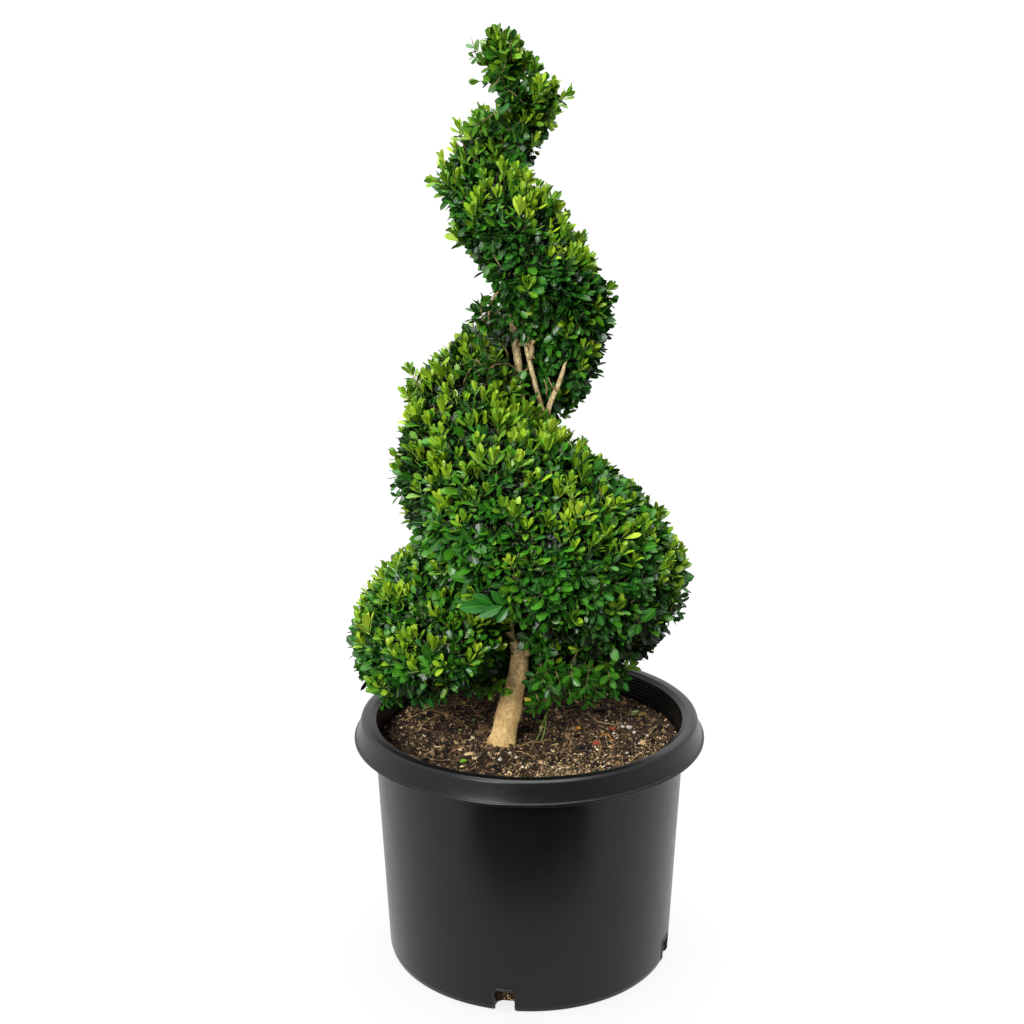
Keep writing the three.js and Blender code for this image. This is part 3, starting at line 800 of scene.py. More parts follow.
# near the top the spiral is thin: shoots with far to grow, or in the notch on the left, are left out
tz, tx = tip[:, 2], tip[:, 0]
gone = (tz > 0.99) & (reach > 0.052)
gone |= (tz > 1.016) & (tz < 1.046) & (tx < -0.031) & (rng.random(n_shoot) < 0.95)
gone |= (tz >= 1.046) & (tz < 1.082) & (tx < -0.040) & (rng.random(n_shoot) < 0.90)
gone |= (tz >= 1.080) & (tx < -0.038)
gone |= tz > 1.0985
gone |= (tz > 0.786) & (tz < 0.808) & (tx > -0.072) & (tx < -0.042) & (rng.random(n_shoot) < 0.85)
gone |= (tz > 1.008) & (tz < 1.046) & (tx < -0.037) & (rng.random(n_shoot) < 0.75)
gone |= (tz > 0.994) & (tz < 1.036) & (tx > 0.029) & (rng.random(n_shoot) < 0.85)
tip, base, d, N, S, nz, mass_of, fresh, half, reach, pull, top_end = (v[~gone] for v in (tip, base, d, N, S, nz, mass_of, fresh, half, reach, pull, top_end))
n_shoot = len(tip)
tip[:, 0] = np.maximum(tip[:, 0], -0.2070)
ctrl = tip - d * np.minimum(0.55 * reach, 0.026)[:, None]


def curve(t):
    t = t[..., None]
    return (1 - t) ** 2 * base[:, None] + 2 * t * (1 - t) * ctrl[:, None] + t * t * tip[:, None]


# sprays with a place of their own: tip, how far back the stem starts, leaf length, pairs, kind
def nearest_node(p):
    return skel[tree.find(p)[1]]


SPRAYS = [
    # hanging low over the soil, right of the trunk
    ((0.023, -0.060, 0.356), (-0.2, -0.9, -0.5), 0.016, 5, "bright"), ((0.0135, -0.058, 0.364), (-0.5, -0.8, -0.4), 0.016, 5, "bright"),
    ((0.036, -0.062, 0.365), (0.3, -0.8, -0.5), 0.015, 5, "green"), ((0.030, -0.052, 0.340), (0.3, -0.5, -0.8), 0.015, 6, "bright"),
    ((0.003, -0.042, 0.323), (-0.5, -0.3, -0.9), 0.013, 6, "green"), ((0.0135, -0.044, 0.330), (0.4, -0.5, -0.8), 0.014, 6, "green"),
    ((0.0695, -0.056, 0.339), (-0.1, -0.5, -0.9), 0.016, 6, "bright"), ((0.080, -0.058, 0.352), (0.5, -0.6, -0.6), 0.015, 5, "bright"),
    ((0.057, -0.058, 0.352), (-0.4, -0.6, -0.7), 0.015, 5, "green"), ((0.101, -0.050, 0.347), (-0.1, -0.4, -0.9), 0.016, 6, "blue"),
    ((0.112, -0.052, 0.361), (0.6, -0.5, -0.6), 0.015, 5, "blue"), ((0.000, -0.046, 0.361), (-0.6, -0.6, -0.4), 0.015, 4, "blue"),
    ((0.048, -0.050, 0.343), (0.1, -0.5, -0.8), 0.014, 6, "green"), ((0.090, -0.052, 0.356), (0.2, -0.6, -0.7), 0.015, 5, "green"),
    ((0.066, -0.066, 0.362), (-0.2, -0.8, -0.5), 0.016, 5, "green"), ((0.094, -0.066, 0.372), (0.1, -0.9, -0.4), 0.016, 5, "bright"),
    ((0.050, -0.070, 0.374), (0.2, -0.9, -0.3), 0.015, 5, "bright"), ((0.118, -0.070, 0.396), (0.2, -0.9, 0.1), 0.012, 3, "lime"),
    ((0.024, -0.036, 0.345), (0.3, -0.3, -0.8), 0.014, 5, "green"), ((0.076, -0.030, 0.345), (0.2, -0.2, -0.9), 0.014, 5, "green"),
    ((0.104, -0.020, 0.352), (0.2, -0.1, -0.9), 0.014, 5, "green"), ((0.052, -0.024, 0.345), (0.0, -0.2, -0.9), 0.014, 5, "blue"),
    # left of it
    ((-0.1665, -0.078, 0.351), (0.1, -0.4, -0.9), 0.013, 5, "green"), ((-0.173, -0.074, 0.342), (-0.3, -0.4, -0.8), 0.009, 4, "bright"),
    ((-0.155, -0.076, 0.346), (0.3, -0.5, -0.8), 0.010, 5, "green"), ((-0.1296, -0.086, 0.354), (-0.2, -0.4, -0.9), 0.017, 4, "blue"),
    ((-0.117, -0.084, 0.355), (0.0, -0.4, -0.9), 0.016, 4, "blue"), ((-0.104, -0.084, 0.357), (0.3, -0.4, -0.8), 0.017, 4, "blue"),
    ((-0.061, -0.078, 0.361), (0.2, -0.4, -0.8), 0.015, 4, "blue"), ((-0.071, -0.080, 0.365), (-0.3, -0.4, -0.8), 0.015, 4, "green"),
    ((-0.038, -0.064, 0.364), (0.1, -1.0, 0.1), 0.015, 4, "mid"), ((-0.046, -0.066, 0.358), (-0.5, -0.9, -0.3), 0.014, 3, "fresh"),
    ((-0.030, -0.060, 0.356), (0.6, -0.8, -0.4), 0.014, 3, "fresh"),
    # in front of the fork low down, and over the ends of what shows of the stem and boughs higher up
    ((0.008, -0.044, 0.405), (-0.2, -0.9, -0.1), 0.016, 5, "green"), ((0.021, -0.048, 0.388), (0.3, -0.9, -0.4), 0.016, 5, "bright"),
    ((0.021, -0.050, 0.402), (0.4, -0.9, -0.1), 0.016, 5, "green"), ((-0.004, -0.046, 0.411), (-0.3, -0.9, 0.1), 0.016, 5, "green"),
    ((-0.017, -0.026, 0.792), (-0.4, -0.6, -0.7), 0.015, 5, "green"), ((-0.011, -0.028, 0.800), (0.2, -0.8, -0.5), 0.015, 5, "bright"),
    ((-0.020, -0.026, 0.809), (-0.2, -0.8, -0.3), 0.014, 5, "green"), ((-0.012, -0.026, 0.817), (0.2, -0.9, 0.0), 0.014, 4, "green"),
    ((-0.019, -0.018, 0.771), (-0.4, -0.8, -0.2), 0.011, 2, "blue"),
    ((-0.0275, -0.024, 0.727), (-0.1, -0.2, 1.0), 0.015, 5, "lime"), ((-0.0170, -0.028, 0.712), (0.0, -0.2, 1.0), 0.015, 5, "lime"),
    ((-0.0090, -0.026, 0.722), (0.1, -0.3, 0.9), 0.014, 5, "bright"), ((-0.0150, -0.018, 0.728), (-0.1, -0.4, 0.9), 0.012, 4, "green"),
    ((0.0040, -0.030, 0.700), (0.1, -0.2, 1.0), 0.014, 5, "green"), ((0.0120, -0.032, 0.684), (0.0, -0.3, 1.0), 0.015, 5, "lime"),
    ((0.0200, -0.030, 0.676), (0.3, -0.3, 0.9), 0.014, 5, "fresh"), ((0.0300, -0.026, 0.674), (0.5, -0.3, 0.8), 0.014, 5, "green"),
    # between the two boughs of the groove
    ((0.0185, -0.004, 0.7535), (0.2, -0.8, -0.2), 0.014, 4, "green"), ((0.0280, -0.006, 0.736), (0.1, -0.9, -0.1), 0.014, 4, "blue"),
    ((0.0185, -0.002, 0.7240), (-0.1, -0.9, 0.2), 0.013, 4, "green"), ((0.0140, -0.004, 0.741), (0.0, -0.9, 0.1), 0.013, 4, "green"),
    ((0.0230, -0.002, 0.7090), (0.1, -0.8, 0.4), 0.013, 4, "blue"), ((-0.0045, -0.018, 0.768), (-0.1, -0.8, -0.3), 0.011, 2, "green"),
    ((0.0315, -0.012, 0.7540), (0.2, -0.9, -0.2), 0.014, 4, "bright"),
    # the neck below the tip, and its right side
    ((-0.0260, -0.016, 1.040), (-0.5, -0.8, -0.2), 0.013, 4, "green"), ((-0.0185, -0.018, 1.034), (0.0, -1.0, 0.1), 0.013, 4, "dark"),
    ((-0.0285, -0.014, 1.027), (-0.6, -0.7, 0.2), 0.013, 4, "green"), ((-0.0120, -0.018, 1.046), (0.1, -0.9, 0.4), 0.013, 4, "dark"),
    ((-0.0045, -0.020, 1.039), (0.3, -0.8, 0.4), 0.013, 4, "green"), ((0.0025, -0.016, 1.048), (0.5, -0.7, 0.5), 0.013, 4, "mid"),
    ((-0.0090, -0.022, 1.028), (0.1, -1.0, 0.0), 0.014, 4, "dark"), ((0.0120, -0.008, 1.062), (0.5, -0.3, 0.8), 0.013, 5, "green"),
    ((0.0180, -0.008, 1.053), (0.3, -0.2, 1.0), 0.014, 5, "green"), ((0.0060, -0.008, 1.071), (0.6, -0.2, 0.7), 0.013, 4, "mid"),
    ((0.0100, -0.012, 1.054), (0.2, -0.6, 0.7), 0.014, 4, "dark"),
    ((-0.0360, -0.014, 1.0600), (-0.3, -0.8, 0.4), 0.014, 4, "green"), ((-0.0315, -0.016, 1.0535), (0.0, -0.9, 0.2), 0.014, 4, "dark"),
    ((-0.0410, -0.012, 1.0530), (-0.8, -0.5, 0.2), 0.014, 4, "mid"), ((-0.0370, -0.014, 1.0470), (-0.5, -0.8, -0.3), 0.012, 4, "dark"),
    ((-0.0040, -0.012, 1.0680), (0.4, -0.5, 0.7), 0.014, 4, "green"), ((0.0035, -0.012, 1.0620), (0.4, -0.5, 0.7), 0.014, 4, "mid"),
    ((-0.0005, -0.014, 1.0560), (0.2, -0.8, 0.5), 0.014, 4, "dark"), ((-0.0340, -0.024, 1.0520), (-0.2, -0.9, 0.3), 0.013, 3, "green"),
    ((-0.0280, -0.020, 1.0340), (-0.3, -0.9, 0.1), 0.012, 3, "dark"), ((-0.0430, -0.022, 1.0130), (-0.2, -0.8, 0.5), 0.014, 5, "green"),
    ((-0.0340, -0.024, 1.0100), (0.1, -0.9, 0.3), 0.014, 4, "dark"), ((-0.0500, -0.022, 1.0060), (-0.3, -0.7, 0.6), 0.014, 5, "fresh"),
    # over the stem where it passes through the neck
    ((-0.0160, -0.020, 1.0010), (-0.2, -0.9, 0.2), 0.013, 4, "dark"), ((-0.0110, -0.020, 0.9920), (0.3, -0.9, 0.1), 0.014, 4, "green"),
    ((-0.0185, -0.021, 0.9905), (-0.3, -0.9, 0.0), 0.013, 4, "dark"), ((-0.0130, -0.021, 0.9740), (0.1, -0.9, 0.2), 0.014, 5, "dark"),
    ((-0.0195, -0.021, 0.9700), (-0.3, -0.9, 0.3), 0.014, 4, "green"), ((-0.0080, -0.020, 0.9650), (0.3, -0.8, 0.4), 0.014, 5, "green"),
    # shoots that stand out of the outline on either side
    ((-0.138, -0.008, 0.732), (-0.4, -0.1, 0.9), 0.015, 6, "lime"), ((-0.143, -0.008, 0.704), (-0.6, -0.1, 0.8), 0.015, 6, "lime"),
    ((-0.137, -0.012, 0.712), (-0.3, -0.3, 0.9), 0.014, 5, "fresh"), ((-0.157, -0.010, 0.632), (-0.5, -0.1, 0.85), 0.015, 6, "lime"),
    ((-0.1545, -0.012, 0.614), (-0.7, -0.1, 0.7), 0.014, 5, "fresh"), ((-0.157, -0.006, 0.593), (-1.0, -0.1, 0.1), 0.014, 4, "green"),
    ((-0.156, -0.006, 0.580), (-1.0, -0.1, -0.2), 0.014, 4, "green"), ((0.185, -0.013, 0.467), (1.0, -0.2, 0.2), 0.015, 5, "green"),
    ((0.183, -0.012, 0.451), (1.0, -0.2, -0.1), 0.015, 5, "bright"), ((0.179, -0.013, 0.436), (0.9, -0.3, -0.4), 0.015, 5, "green"),
    ((0.094, -0.002, 0.824), (0.8, -0.1, 0.6), 0.014, 5, "fresh"), ((0.0955, -0.002, 0.810), (1.0, -0.1, 0.2), 0.014, 4, "green"),
    ((0.182, -0.016, 0.471), (0.9, -0.4, 0.3), 0.015, 5, "bright"), ((0.181, -0.015, 0.457), (0.9, -0.4, 0.0), 0.015, 5, "green"),
    ((0.178, -0.017, 0.443), (0.9, -0.4, -0.2), 0.015, 5, "green"), ((0.173, -0.014, 0.429), (0.8, -0.4, -0.5), 0.015, 5, "bright"),
    # over the upper part of the left bough in the groove
    ((-0.0040, -0.020, 0.7840), (0.1, -0.8, -0.5), 0.014, 5, "green"), ((-0.0065, -0.021, 0.7750), (-0.1, -0.8, -0.4), 0.013, 4, "dark"),
    ((0.0020, -0.020, 0.7760), (0.3, -0.8, -0.4), 0.013, 4, "green"),
    # at the very tip and along the upper left edge
    ((-0.061, -0.006, 1.087), (-0.7, 0.0, 0.7), 0.015, 2, "green"), ((-0.0615, -0.008, 1.0765), (-1.0, 0.0, 0.1), 0.011, 2, "bright"),
    ((-0.050, -0.010, 1.074), (-0.5, -0.3, 0.4), 0.015, 4, "mid"), ((-0.059, -0.008, 1.051), (-1.0, 0.0, 0.1), 0.013, 2, "fresh"),
    ((-0.046, -0.006, 1.049), (-1.0, -0.1, -0.1), 0.012, 3, "green"),
    ((-0.052, -0.010, 1.019), (-0.1, -0.1, 1.0), 0.015, 6, "lime"), ((-0.078, -0.015, 1.004), (-0.2, -0.1, 1.0), 0.015, 5, "lime"),
    ((-0.106, -0.015, 0.944), (-1.0, -0.1, 0.2), 0.015, 5, "lime"), ((0.044, -0.008, 1.038), (0.7, 0.0, 0.7), 0.015, 6, "lime"),
    ((0.024, -0.010, 1.006), (0.7, -0.3, -0.5), 0.015, 5, "lime"), ((0.029, -0.012, 1.020), (0.3, -0.3, 0.6), 0.015, 5, "fresh"),
    # the olive sprays at the tip are partly painted shade on the topmost leaves
    ((-0.034, -0.010, 1.099), (-0.2, -0.3, 1.0), 0.018, 3, "olive"), ((-0.023, -0.010, 1.097), (0.3, -0.3, 1.0), 0.017, 4, "olive"),
    ((-0.014, -0.010, 1.086), (0.6, -0.3, 0.7), 0.016, 4, "olive"), ((-0.029, -0.014, 1.086), (0.0, -0.8, 0.5), 0.017, 4, "mid"),
    ((-0.0355, -0.014, 1.088), (-0.3, -0.7, 0.6), 0.017, 3, "olive"), ((-0.0425, -0.010, 1.084), (-0.6, -0.4, 0.7), 0.017, 4, "olive"),
    ((-0.0400, -0.010, 1.096), (-0.4, -0.4, 0.9), 0.017, 3, "olive"), ((-0.0370, -0.016, 1.077), (-0.3, -0.8, 0.4), 0.017, 4, "green"),
    ((-0.0580, -0.027, 1.0127), (-0.2, -0.5, 0.9), 0.015, 5, "lime"), ((-0.0483, -0.027, 1.0042), (0.0, -0.7, 0.7), 0.014, 5, "green"),
    ((-0.0669, -0.029, 1.0000), (-0.3, -0.6, 0.8), 0.015, 5, "lime"),
    ((-0.0160, -0.012, 1.094), (0.4, -0.4, 0.8), 0.016, 3, "green"),
    ((-0.002, -0.008, 1.074), (0.8, -0.1, 0.5), 0.014, 5, "fresh"),
]
SPRAY_TINT = {"green": "leaf_green", "bright": "leaf_bright", "blue": "leaf_blue", "dark": "leaf_dark", "olive": "leaf_olive", "mid": "leaf_mid", "fresh": "leaf_fresh", "lime": "leaf_lime"}
SPRAY_MASS = []
extra_base, extra_ctrl, extra_tip = [], [], []
for at_, way, _, _, _ in SPRAYS:
    at_, way = np.array(at_), unit(np.array(way, float))
    start = nearest_node(at_ - way * 0.030 + (0, 0, 0.004))
    extra_base.append(start)
    extra_ctrl.append(at_ - way * min(0.030, 0.6 * float(np.linalg.norm(at_ - start))))
    extra_tip.append(at_)
    SPRAY_MASS.append(int(label_at((at_ - way * 0.022)[None])[0]))
extra_base, extra_ctrl, extra_tip = np.array(extra_base), np.array(extra_ctrl), np.array(extra_tip)
SPRAY_MASS = np.array(SPRAY_MASS)
for i in range(len(SPRAYS)):
    if SPRAY_MASS[i] == 0 or SPRAY_MASS[i] > len(MASSES):
        near_s = np.argmin(np.linalg.norm(S - extra_tip[i], axis=1))
        SPRAY_MASS[i] = mass_of[near_s]

# bare twigs running just under the leaves, as between the leaves of an old clipped plant
n_bare = 190
pick = rng.choice(np.flatnonzero(S[:, 2] < 0.93), n_bare, replace=False)
side_way = unit(np.cross(N[pick], rng.normal(0, 1, (n_bare, 3))))
side_way = unit(side_way + UP * 0.5)
b_len = rng.uniform(0.014, 0.032, n_bare)
b_tip = S[pick] - N[pick] * (rng.uniform(0.004, 0.011, n_bare) + pull[pick])[:, None]
b_base = b_tip - side_way * b_len[:, None] - N[pick] * rng.uniform(0.006, 0.016, n_bare)[:, None]
b_mid = (b_tip + b_base) / 2 + N[pick] * rng.uniform(-0.001, 0.003, n_bare)[:, None] + rng.normal(0, 0.0022, (n_bare, 3))
ok_b = (sample(FIELD, b_base) > 0.5) & (sample(FIELD, b_mid) > 0.2)
b_tip, b_base, b_mid = b_tip[ok_b], b_base[ok_b], b_mid[ok_b]

stem_t = np.broadcast_to(np.array([0.0, 0.35, 0.68, 1.0]), (n_shoot, 4))
stem_r = np.stack([np.full(n_shoot, 0.0010), np.full(n_shoot, 0.0008), np.full(n_shoot, 0.00065), np.full(n_shoot, 0.0004)], -1)
def bend(a, c, b, n=4):
    t = np.linspace(0, 1, n)[None, :, None]
    return (1 - t) ** 2 * a[:, None] + 2 * t * (1 - t) * c[:, None] + t * t * b[:, None]


paths = np.concatenate([curve(stem_t), bend(extra_base, extra_ctrl, extra_tip), bend(b_base, 2 * b_mid - (b_base + b_tip) / 2, b_tip)])
n_x, n_b = len(extra_tip), len(b_tip)
stem_r = np.concatenate([stem_r, np.tile([0.0011, 0.0009, 0.0007, 0.0004], (n_x, 1)), np.tile([0.0007, 0.0006, 0.0005, 0.0003], (n_b, 1))])
V, T = tubes(paths, stem_r, 3)
split = np.concatenate([S[:, 2], extra_tip[:, 2], b_tip[:, 2]]) > 0.62
stem_mat = np.where(fresh, 2, np.where((rng.random(n_shoot) < 0.5) & (tip[:, 2] < 0.93), 0, 1))
stem_mat = np.concatenate([stem_mat, np.where(extra_tip[:, 2] > 0.9, 1, 0), rng.choice([0, 3, 1], n_b, p=[0.45, 0.15, 0.40])])
ring = 4 * 3
order_of = np.empty(len(T), int)
shoot_of_tri = T[:, 0] // ring
for name, pick in (("twigs_upper", split), ("twigs_lower", ~split)):
    sel = pick[shoot_of_tri]
    used = np.unique(T[sel])
    remap = np.zeros(len(V), int)
    remap[used] = np.arange(len(used))
    ob = make_mesh(name, V[used], remap[T[sel]], stem_mat[shoot_of_tri[sel]], TWIG_MATS)
    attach(ob, "root")

# leaves in crossed pairs down each shoot
PAIRS = 5
rows = {k: [] for k in ("base", "axis", "nrm", "L", "W", "cup", "curl", "tint", "rib", "mass", "new")}   # one list of arrays for each
ref = np.where(np.abs(d[:, 2:3]) > 0.85, np.array([1.0, 0, 0]), UP)
e1 = unit(np.cross(d, ref))
e2 = np.cross(d, e1)
spin = rng.uniform(0, math.pi, n_shoot)
spray_size = np.exp(rng.normal(0, 0.13, n_shoot)) * (1 - 0.10 * top_end)
dull = np.array([TINT["leaf_deep_and_painted_shade"], TINT["leaf_dark"], TINT["leaf_green"], TINT["leaf_bright"], TINT["leaf_blue"], TINT["leaf_shade"]])
# mature tints are dealt at random; below 0.62 m the brighter greens come more often, painted highlight for the sheen on
# the lower leaves
spray_tint = np.where(half, rng.choice([2, 3, 6], n_shoot, p=[0.35, 0.40, 0.25]), np.where(tip[:, 2] > 0.62, rng.choice(6, n_shoot, p=[0.16, 0.24, 0.24, 0.12, 0.14, 0.10]),
                               rng.choice(6, n_shoot, p=[0.13, 0.17, 0.24, 0.22, 0.14, 0.10])))
spray_tint = np.where(tip[:, 2] > 1.03, rng.choice([2, 3, 6, 7, 1], n_shoot, p=[0.24, 0.16, 0.28, 0.14, 0.18]), spray_tint)
# at the very tip the olive green is dealt most: partly the leaves' own colour, partly painted shade darkening the
# topmost leaves
spray_tint = np.where(tip[:, 2] > 1.072, rng.choice([TINT["leaf_olive"], 6, 7], n_shoot, p=[0.50, 0.32, 0.18]), spray_tint)
spray_lime = rng.choice([TINT["leaf_fresh"], TINT["leaf_lime"], TINT["leaf_lime_bright"], TINT["leaf_lime_yellow"]], n_shoot, p=[0.26, 0.36, 0.26, 0.12])
for k in range(PAIRS):
    back_old = 0.0012 + 0.0052 * k
    back_new = 0.0010 + 0.0036 * k
    back = np.where(fresh, back_new, back_old) * rng.uniform(0.85, 1.15, n_shoot)
    t = np.clip(1 - back / np.maximum(reach, 0.012), 0.02, 1.0)
    at = curve(t[:, None])[:, 0]
    near = curve(np.clip(t - 0.06, 0, 1)[:, None])[:, 0]
    along = unit(at - near)
    along = np.where((k == 0) | (t[:, None] > 0.97), d, along)
    phi_old = np.radians(np.array([30, 50, 62, 70, 76])[k])
    phi_new = np.radians(np.array([9, 20, 30, 40, 52])[k])
    for sgn in (1, -1):
        ang = spin + k * math.pi / 2 + rng.normal(0, 0.18, n_shoot)
        u = unit(np.cos(ang)[:, None] * e1 + np.sin(ang)[:, None] * e2) * sgn
        u = unit(u - (u * along).sum(-1, keepdims=True) * along)
        phi = np.where(fresh, phi_new, phi_old) + rng.normal(0, 0.13, n_shoot)
        a = unit(np.cos(phi)[:, None] * along + np.sin(phi)[:, None] * u)
        face = np.sin(phi)[:, None] * along - np.cos(phi)[:, None] * u
        light = np.where(tip[:, 2:3] > 1.0, N * [0.5, 0.5, 0.1], N * 0.52 + UP * 0.24)
        nn = unit(face + np.where(fresh[:, None], 0.10, 0.80) * light + rng.normal(0, 0.15, (n_shoot, 3)))
        size_old = np.array([0.0106, 0.0162, 0.0178, 0.0178, 0.0166])[k] * spray_size
        size_new = np.array([0.0104, 0.0144, 0.0158, 0.0158, 0.0148])[k] * spray_size
        L = np.where(fresh, size_new, size_old) * rng.uniform(0.84, 1.16, n_shoot)
        W = L * np.where(fresh, rng.uniform(0.37, 0.48, n_shoot), rng.uniform(0.50, 0.62, n_shoot))
        tint = np.where(rng.random(n_shoot) < 0.72, spray_tint, np.where(tip[:, 2] > 1.06, TINT["leaf_olive"], rng.choice(dull, n_shoot)))
        lime = np.where(rng.random(n_shoot) < 0.75, spray_lime, rng.choice([7, 8, 9], n_shoot))
        lime = np.where(k >= 3, rng.choice([TINT["leaf_mid"], TINT["leaf_fresh"], TINT["leaf_bright"]], n_shoot), lime)
        tint = np.where(fresh, lime, tint)
        if k == 0:
            tint = np.where(half & (rng.random(n_shoot) < 0.4), TINT["leaf_fresh"], tint)
        tint = np.where(rng.random(n_shoot) < 0.0004, TINT["leaf_yellowed"], tint)
        have = rng.random(n_shoot) < (0.97 if k < 4 else 0.8)
        rows["base"].append((at + u * 0.0006 + a * 0.0012)[have])
        rows["axis"].append(a[have])
        rows["nrm"].append(nn[have])
        rows["L"].append(L[have])
        rows["W"].append(W[have])
        rows["cup"].append((rng.uniform(-0.32, 0.36, n_shoot) - np.where(fresh, 0.30, 0))[have])
        rows["curl"].append(np.where(fresh, rng.uniform(-0.02, 0.16, n_shoot), rng.uniform(-0.04, 0.22, n_shoot))[have])
        rows["tint"].append(tint[have])
        rows["rib"].append(np.where(fresh, TINT["leaf_rib_fresh"], TINT["leaf_rib"])[have])
        rows["mass"].append(mass_of[have])
        rows["new"].append(fresh[have])
for i, (_, way, length, pairs, kind) in enumerate(SPRAYS):
    tt = np.linspace(1, 0, 25)[:, None]
    way_pts = (1 - tt) ** 2 * extra_base[i] + 2 * tt * (1 - tt) * extra_ctrl[i] + tt * tt * extra_tip[i]
    run = np.concatenate([[0], np.cumsum(np.linalg.norm(np.diff(way_pts, axis=0), axis=1))])
    turn = rng.uniform(0, math.pi)
    young = kind in ("lime", "fresh", "mid", "olive")
    step = (0.0040 if young else 0.0054) * length / 0.015
    for k in range(pairs):
        back = min(0.0012 + step * k, run[-1] * 0.97)
        at_k = np.array([np.interp(back, run, way_pts[:, c]) for c in range(3)])
        behind = np.array([np.interp(back + 0.002, run, way_pts[:, c]) for c in range(3)])
        a0 = unit(at_k - behind + 1e-9)
        r1 = unit(np.cross(a0, [0.3, 1.0, 0.2]))
        r2 = np.cross(a0, r1)
        for sgn in (1, -1):
            ang = turn + k * math.pi / 2 + rng.normal(0, 0.15)
            u = (math.cos(ang) * r1 + math.sin(ang) * r2) * sgn
            phi = math.radians(([12, 24, 36, 46, 56, 62, 66] if young else [34, 54, 64, 70, 76, 78, 80])[k]) + rng.normal(0, 0.1)
            ax = unit(math.cos(phi) * a0 + math.sin(phi) * u)
            face = unit(math.sin(phi) * a0 - math.cos(phi) * u + (0.15 if young else 0.7) * (np.array([0, -0.8, 0.1]) if extra_tip[i][2] > 1.0 else np.array([0, -0.4, 0.7])) + rng.normal(0, 0.12, 3))
            L1 = length * (0.8 if k == 0 else 1.0) * rng.uniform(0.88, 1.12)
            rows["base"].append((at_k + u * 0.0006)[None])
            rows["axis"].append(ax[None])
            rows["nrm"].append(face[None])
            rows["L"].append(np.array([L1]))
            rows["W"].append(np.array([L1 * (0.60 if extra_tip[i][2] > 1.06 else 0.50 if young else 0.58)]))
            rows["cup"].append(np.array([rng.uniform(-0.3, 0.3)]))
            rows["curl"].append(np.array([rng.uniform(0.0, 0.18)]))
            rows["tint"].append(np.array([TINT[SPRAY_TINT[kind]] if rng.random() < 0.7 else TINT["leaf_olive" if extra_tip[i][2] > 1.06 else "leaf_mid" if young else "leaf_dark"]]))
            rows["rib"].append(np.array([TINT["leaf_rib_fresh" if young else "leaf_rib"]]))
            rows["mass"].append(SPRAY_MASS[i][None])
            rows["new"].append(np.array([young]))
# a spray of large dark leaves standing out of the lower front, and one yellowed leaf by the trunk
big = (np.abs(cand[:, 0] + 0.055) < 0.02) & (np.abs(cand[:, 2] - 0.478) < 0.012)
big_y = float(cand[big, 1].min())
BIG = [  # base x, z, tip x, z, how far the tip stands out, length
    (-0.029, 0.4955, -0.0430, 0.5130, 0.004, 0.023), (-0.0415, 0.4970, -0.0620, 0.5105, 0.007, 0.026), (-0.044, 0.4955, -0.0790, 0.4970, 0.012, 0.036),
    (-0.031, 0.4945, -0.0585, 0.4855, 0.010, 0.029), (-0.027, 0.4970, -0.0330, 0.5120, 0.002, 0.018), (-0.025, 0.4920, -0.0370, 0.4780, 0.006, 0.020),
]
for x0, z0, x1, z1, out_y, L1 in BIG:
    b0 = np.array([x0, big_y - 0.001, z0])
    ax = unit(np.array([x1, big_y - 0.001 - out_y, z1]) - b0)
    for key, val in (("base", b0[None]), ("axis", ax[None]), ("nrm", unit(np.array([0.1, -0.78, 0.55]) + rng.normal(0, 0.14, 3))[None]), ("L", [L1]), ("W", [L1 * 0.44]),
                     ("cup", [-0.25]), ("curl", [0.12]), ("tint", [TINT["leaf_large"]]), ("rib", [TINT["leaf_bright"]]),
                     ("mass", [MASSES.index("foliage_lower_front") + 1]), ("new", [False])):
        rows[key].append(np.array(val))
for b0, b1, L1, tint_, mass_ in (((-0.006, -0.032, 0.336), (0.004, -0.038, 0.329), 0.0125, "leaf_yellowed", "foliage_lower_front"),):
    b0, b1 = np.array(b0), np.array(b1)
    for key, val in (("base", b0[None]), ("axis", unit(b1 - b0)[None]), ("nrm", unit(np.array([0.1, -0.8, 0.5]))[None]), ("L", [L1]), ("W", [L1 * 0.6]),
                     ("cup", [0.1]), ("curl", [0.15]), ("tint", [TINT[tint_]]), ("rib", [TINT["leaf_rib_fresh"]]), ("mass", [MASSES.index(mass_) + 1]), ("new", [False])):
        rows[key].append(np.array(val))
n_placed = sum(2 * s_[3] for s_ in SPRAYS) + len(BIG) + 1
leaf = {k: np.concatenate(v) for k, v in rows.items()}
placed = np.zeros(len(leaf["L"]), bool)
placed[-n_placed:] = True
# in the upper turn and along the right outline no leaf is larger than its neighbours
upper = (leaf["base"][:, 2] > 0.955) & (leaf["base"][:, 2] < 1.050)
for part, most in ((upper, 0.0140), ((leaf["base"][:, 0] > 0.178) & ~upper, 0.0125)):
    shrink = np.where(part & (leaf["L"] > most), most / leaf["L"], 1.0)
    leaf["L"], leaf["W"] = leaf["L"] * shrink, leaf["W"] * shrink
lift = upper & (leaf["base"][:, 0] < -0.036) & (leaf["base"][:, 1] < -0.024) & ~leaf["new"]
leaf["tint"] = np.where(lift, np.where(np.arange(len(lift)) % 3 > 0, TINT["leaf_mid"], TINT["leaf_fresh"]), leaf["tint"])


def near_line(p, line, width):
    """Which points lie in front of a line of points as the picture shows it, within width mm."""
    q = to_picture(p)
    l = to_picture(line)
    out = np.zeros(len(p), bool)
    for a, b, w in zip(l[:-1], l[1:], width):
        ab = b[:2] - a[:2]
        t = np.clip(((q[:, :2] - a[:2]) @ ab) / (ab @ ab), 0, 1)
        c = a[:2] + t[:, None] * ab
        dist = np.linalg.norm(q[:, :2] - c, axis=1)
        z = a[2] + t * (b[2] - a[2])
        out |= (dist < w * 0.85) & (q[:, 2] < z + 0.004)
    return out


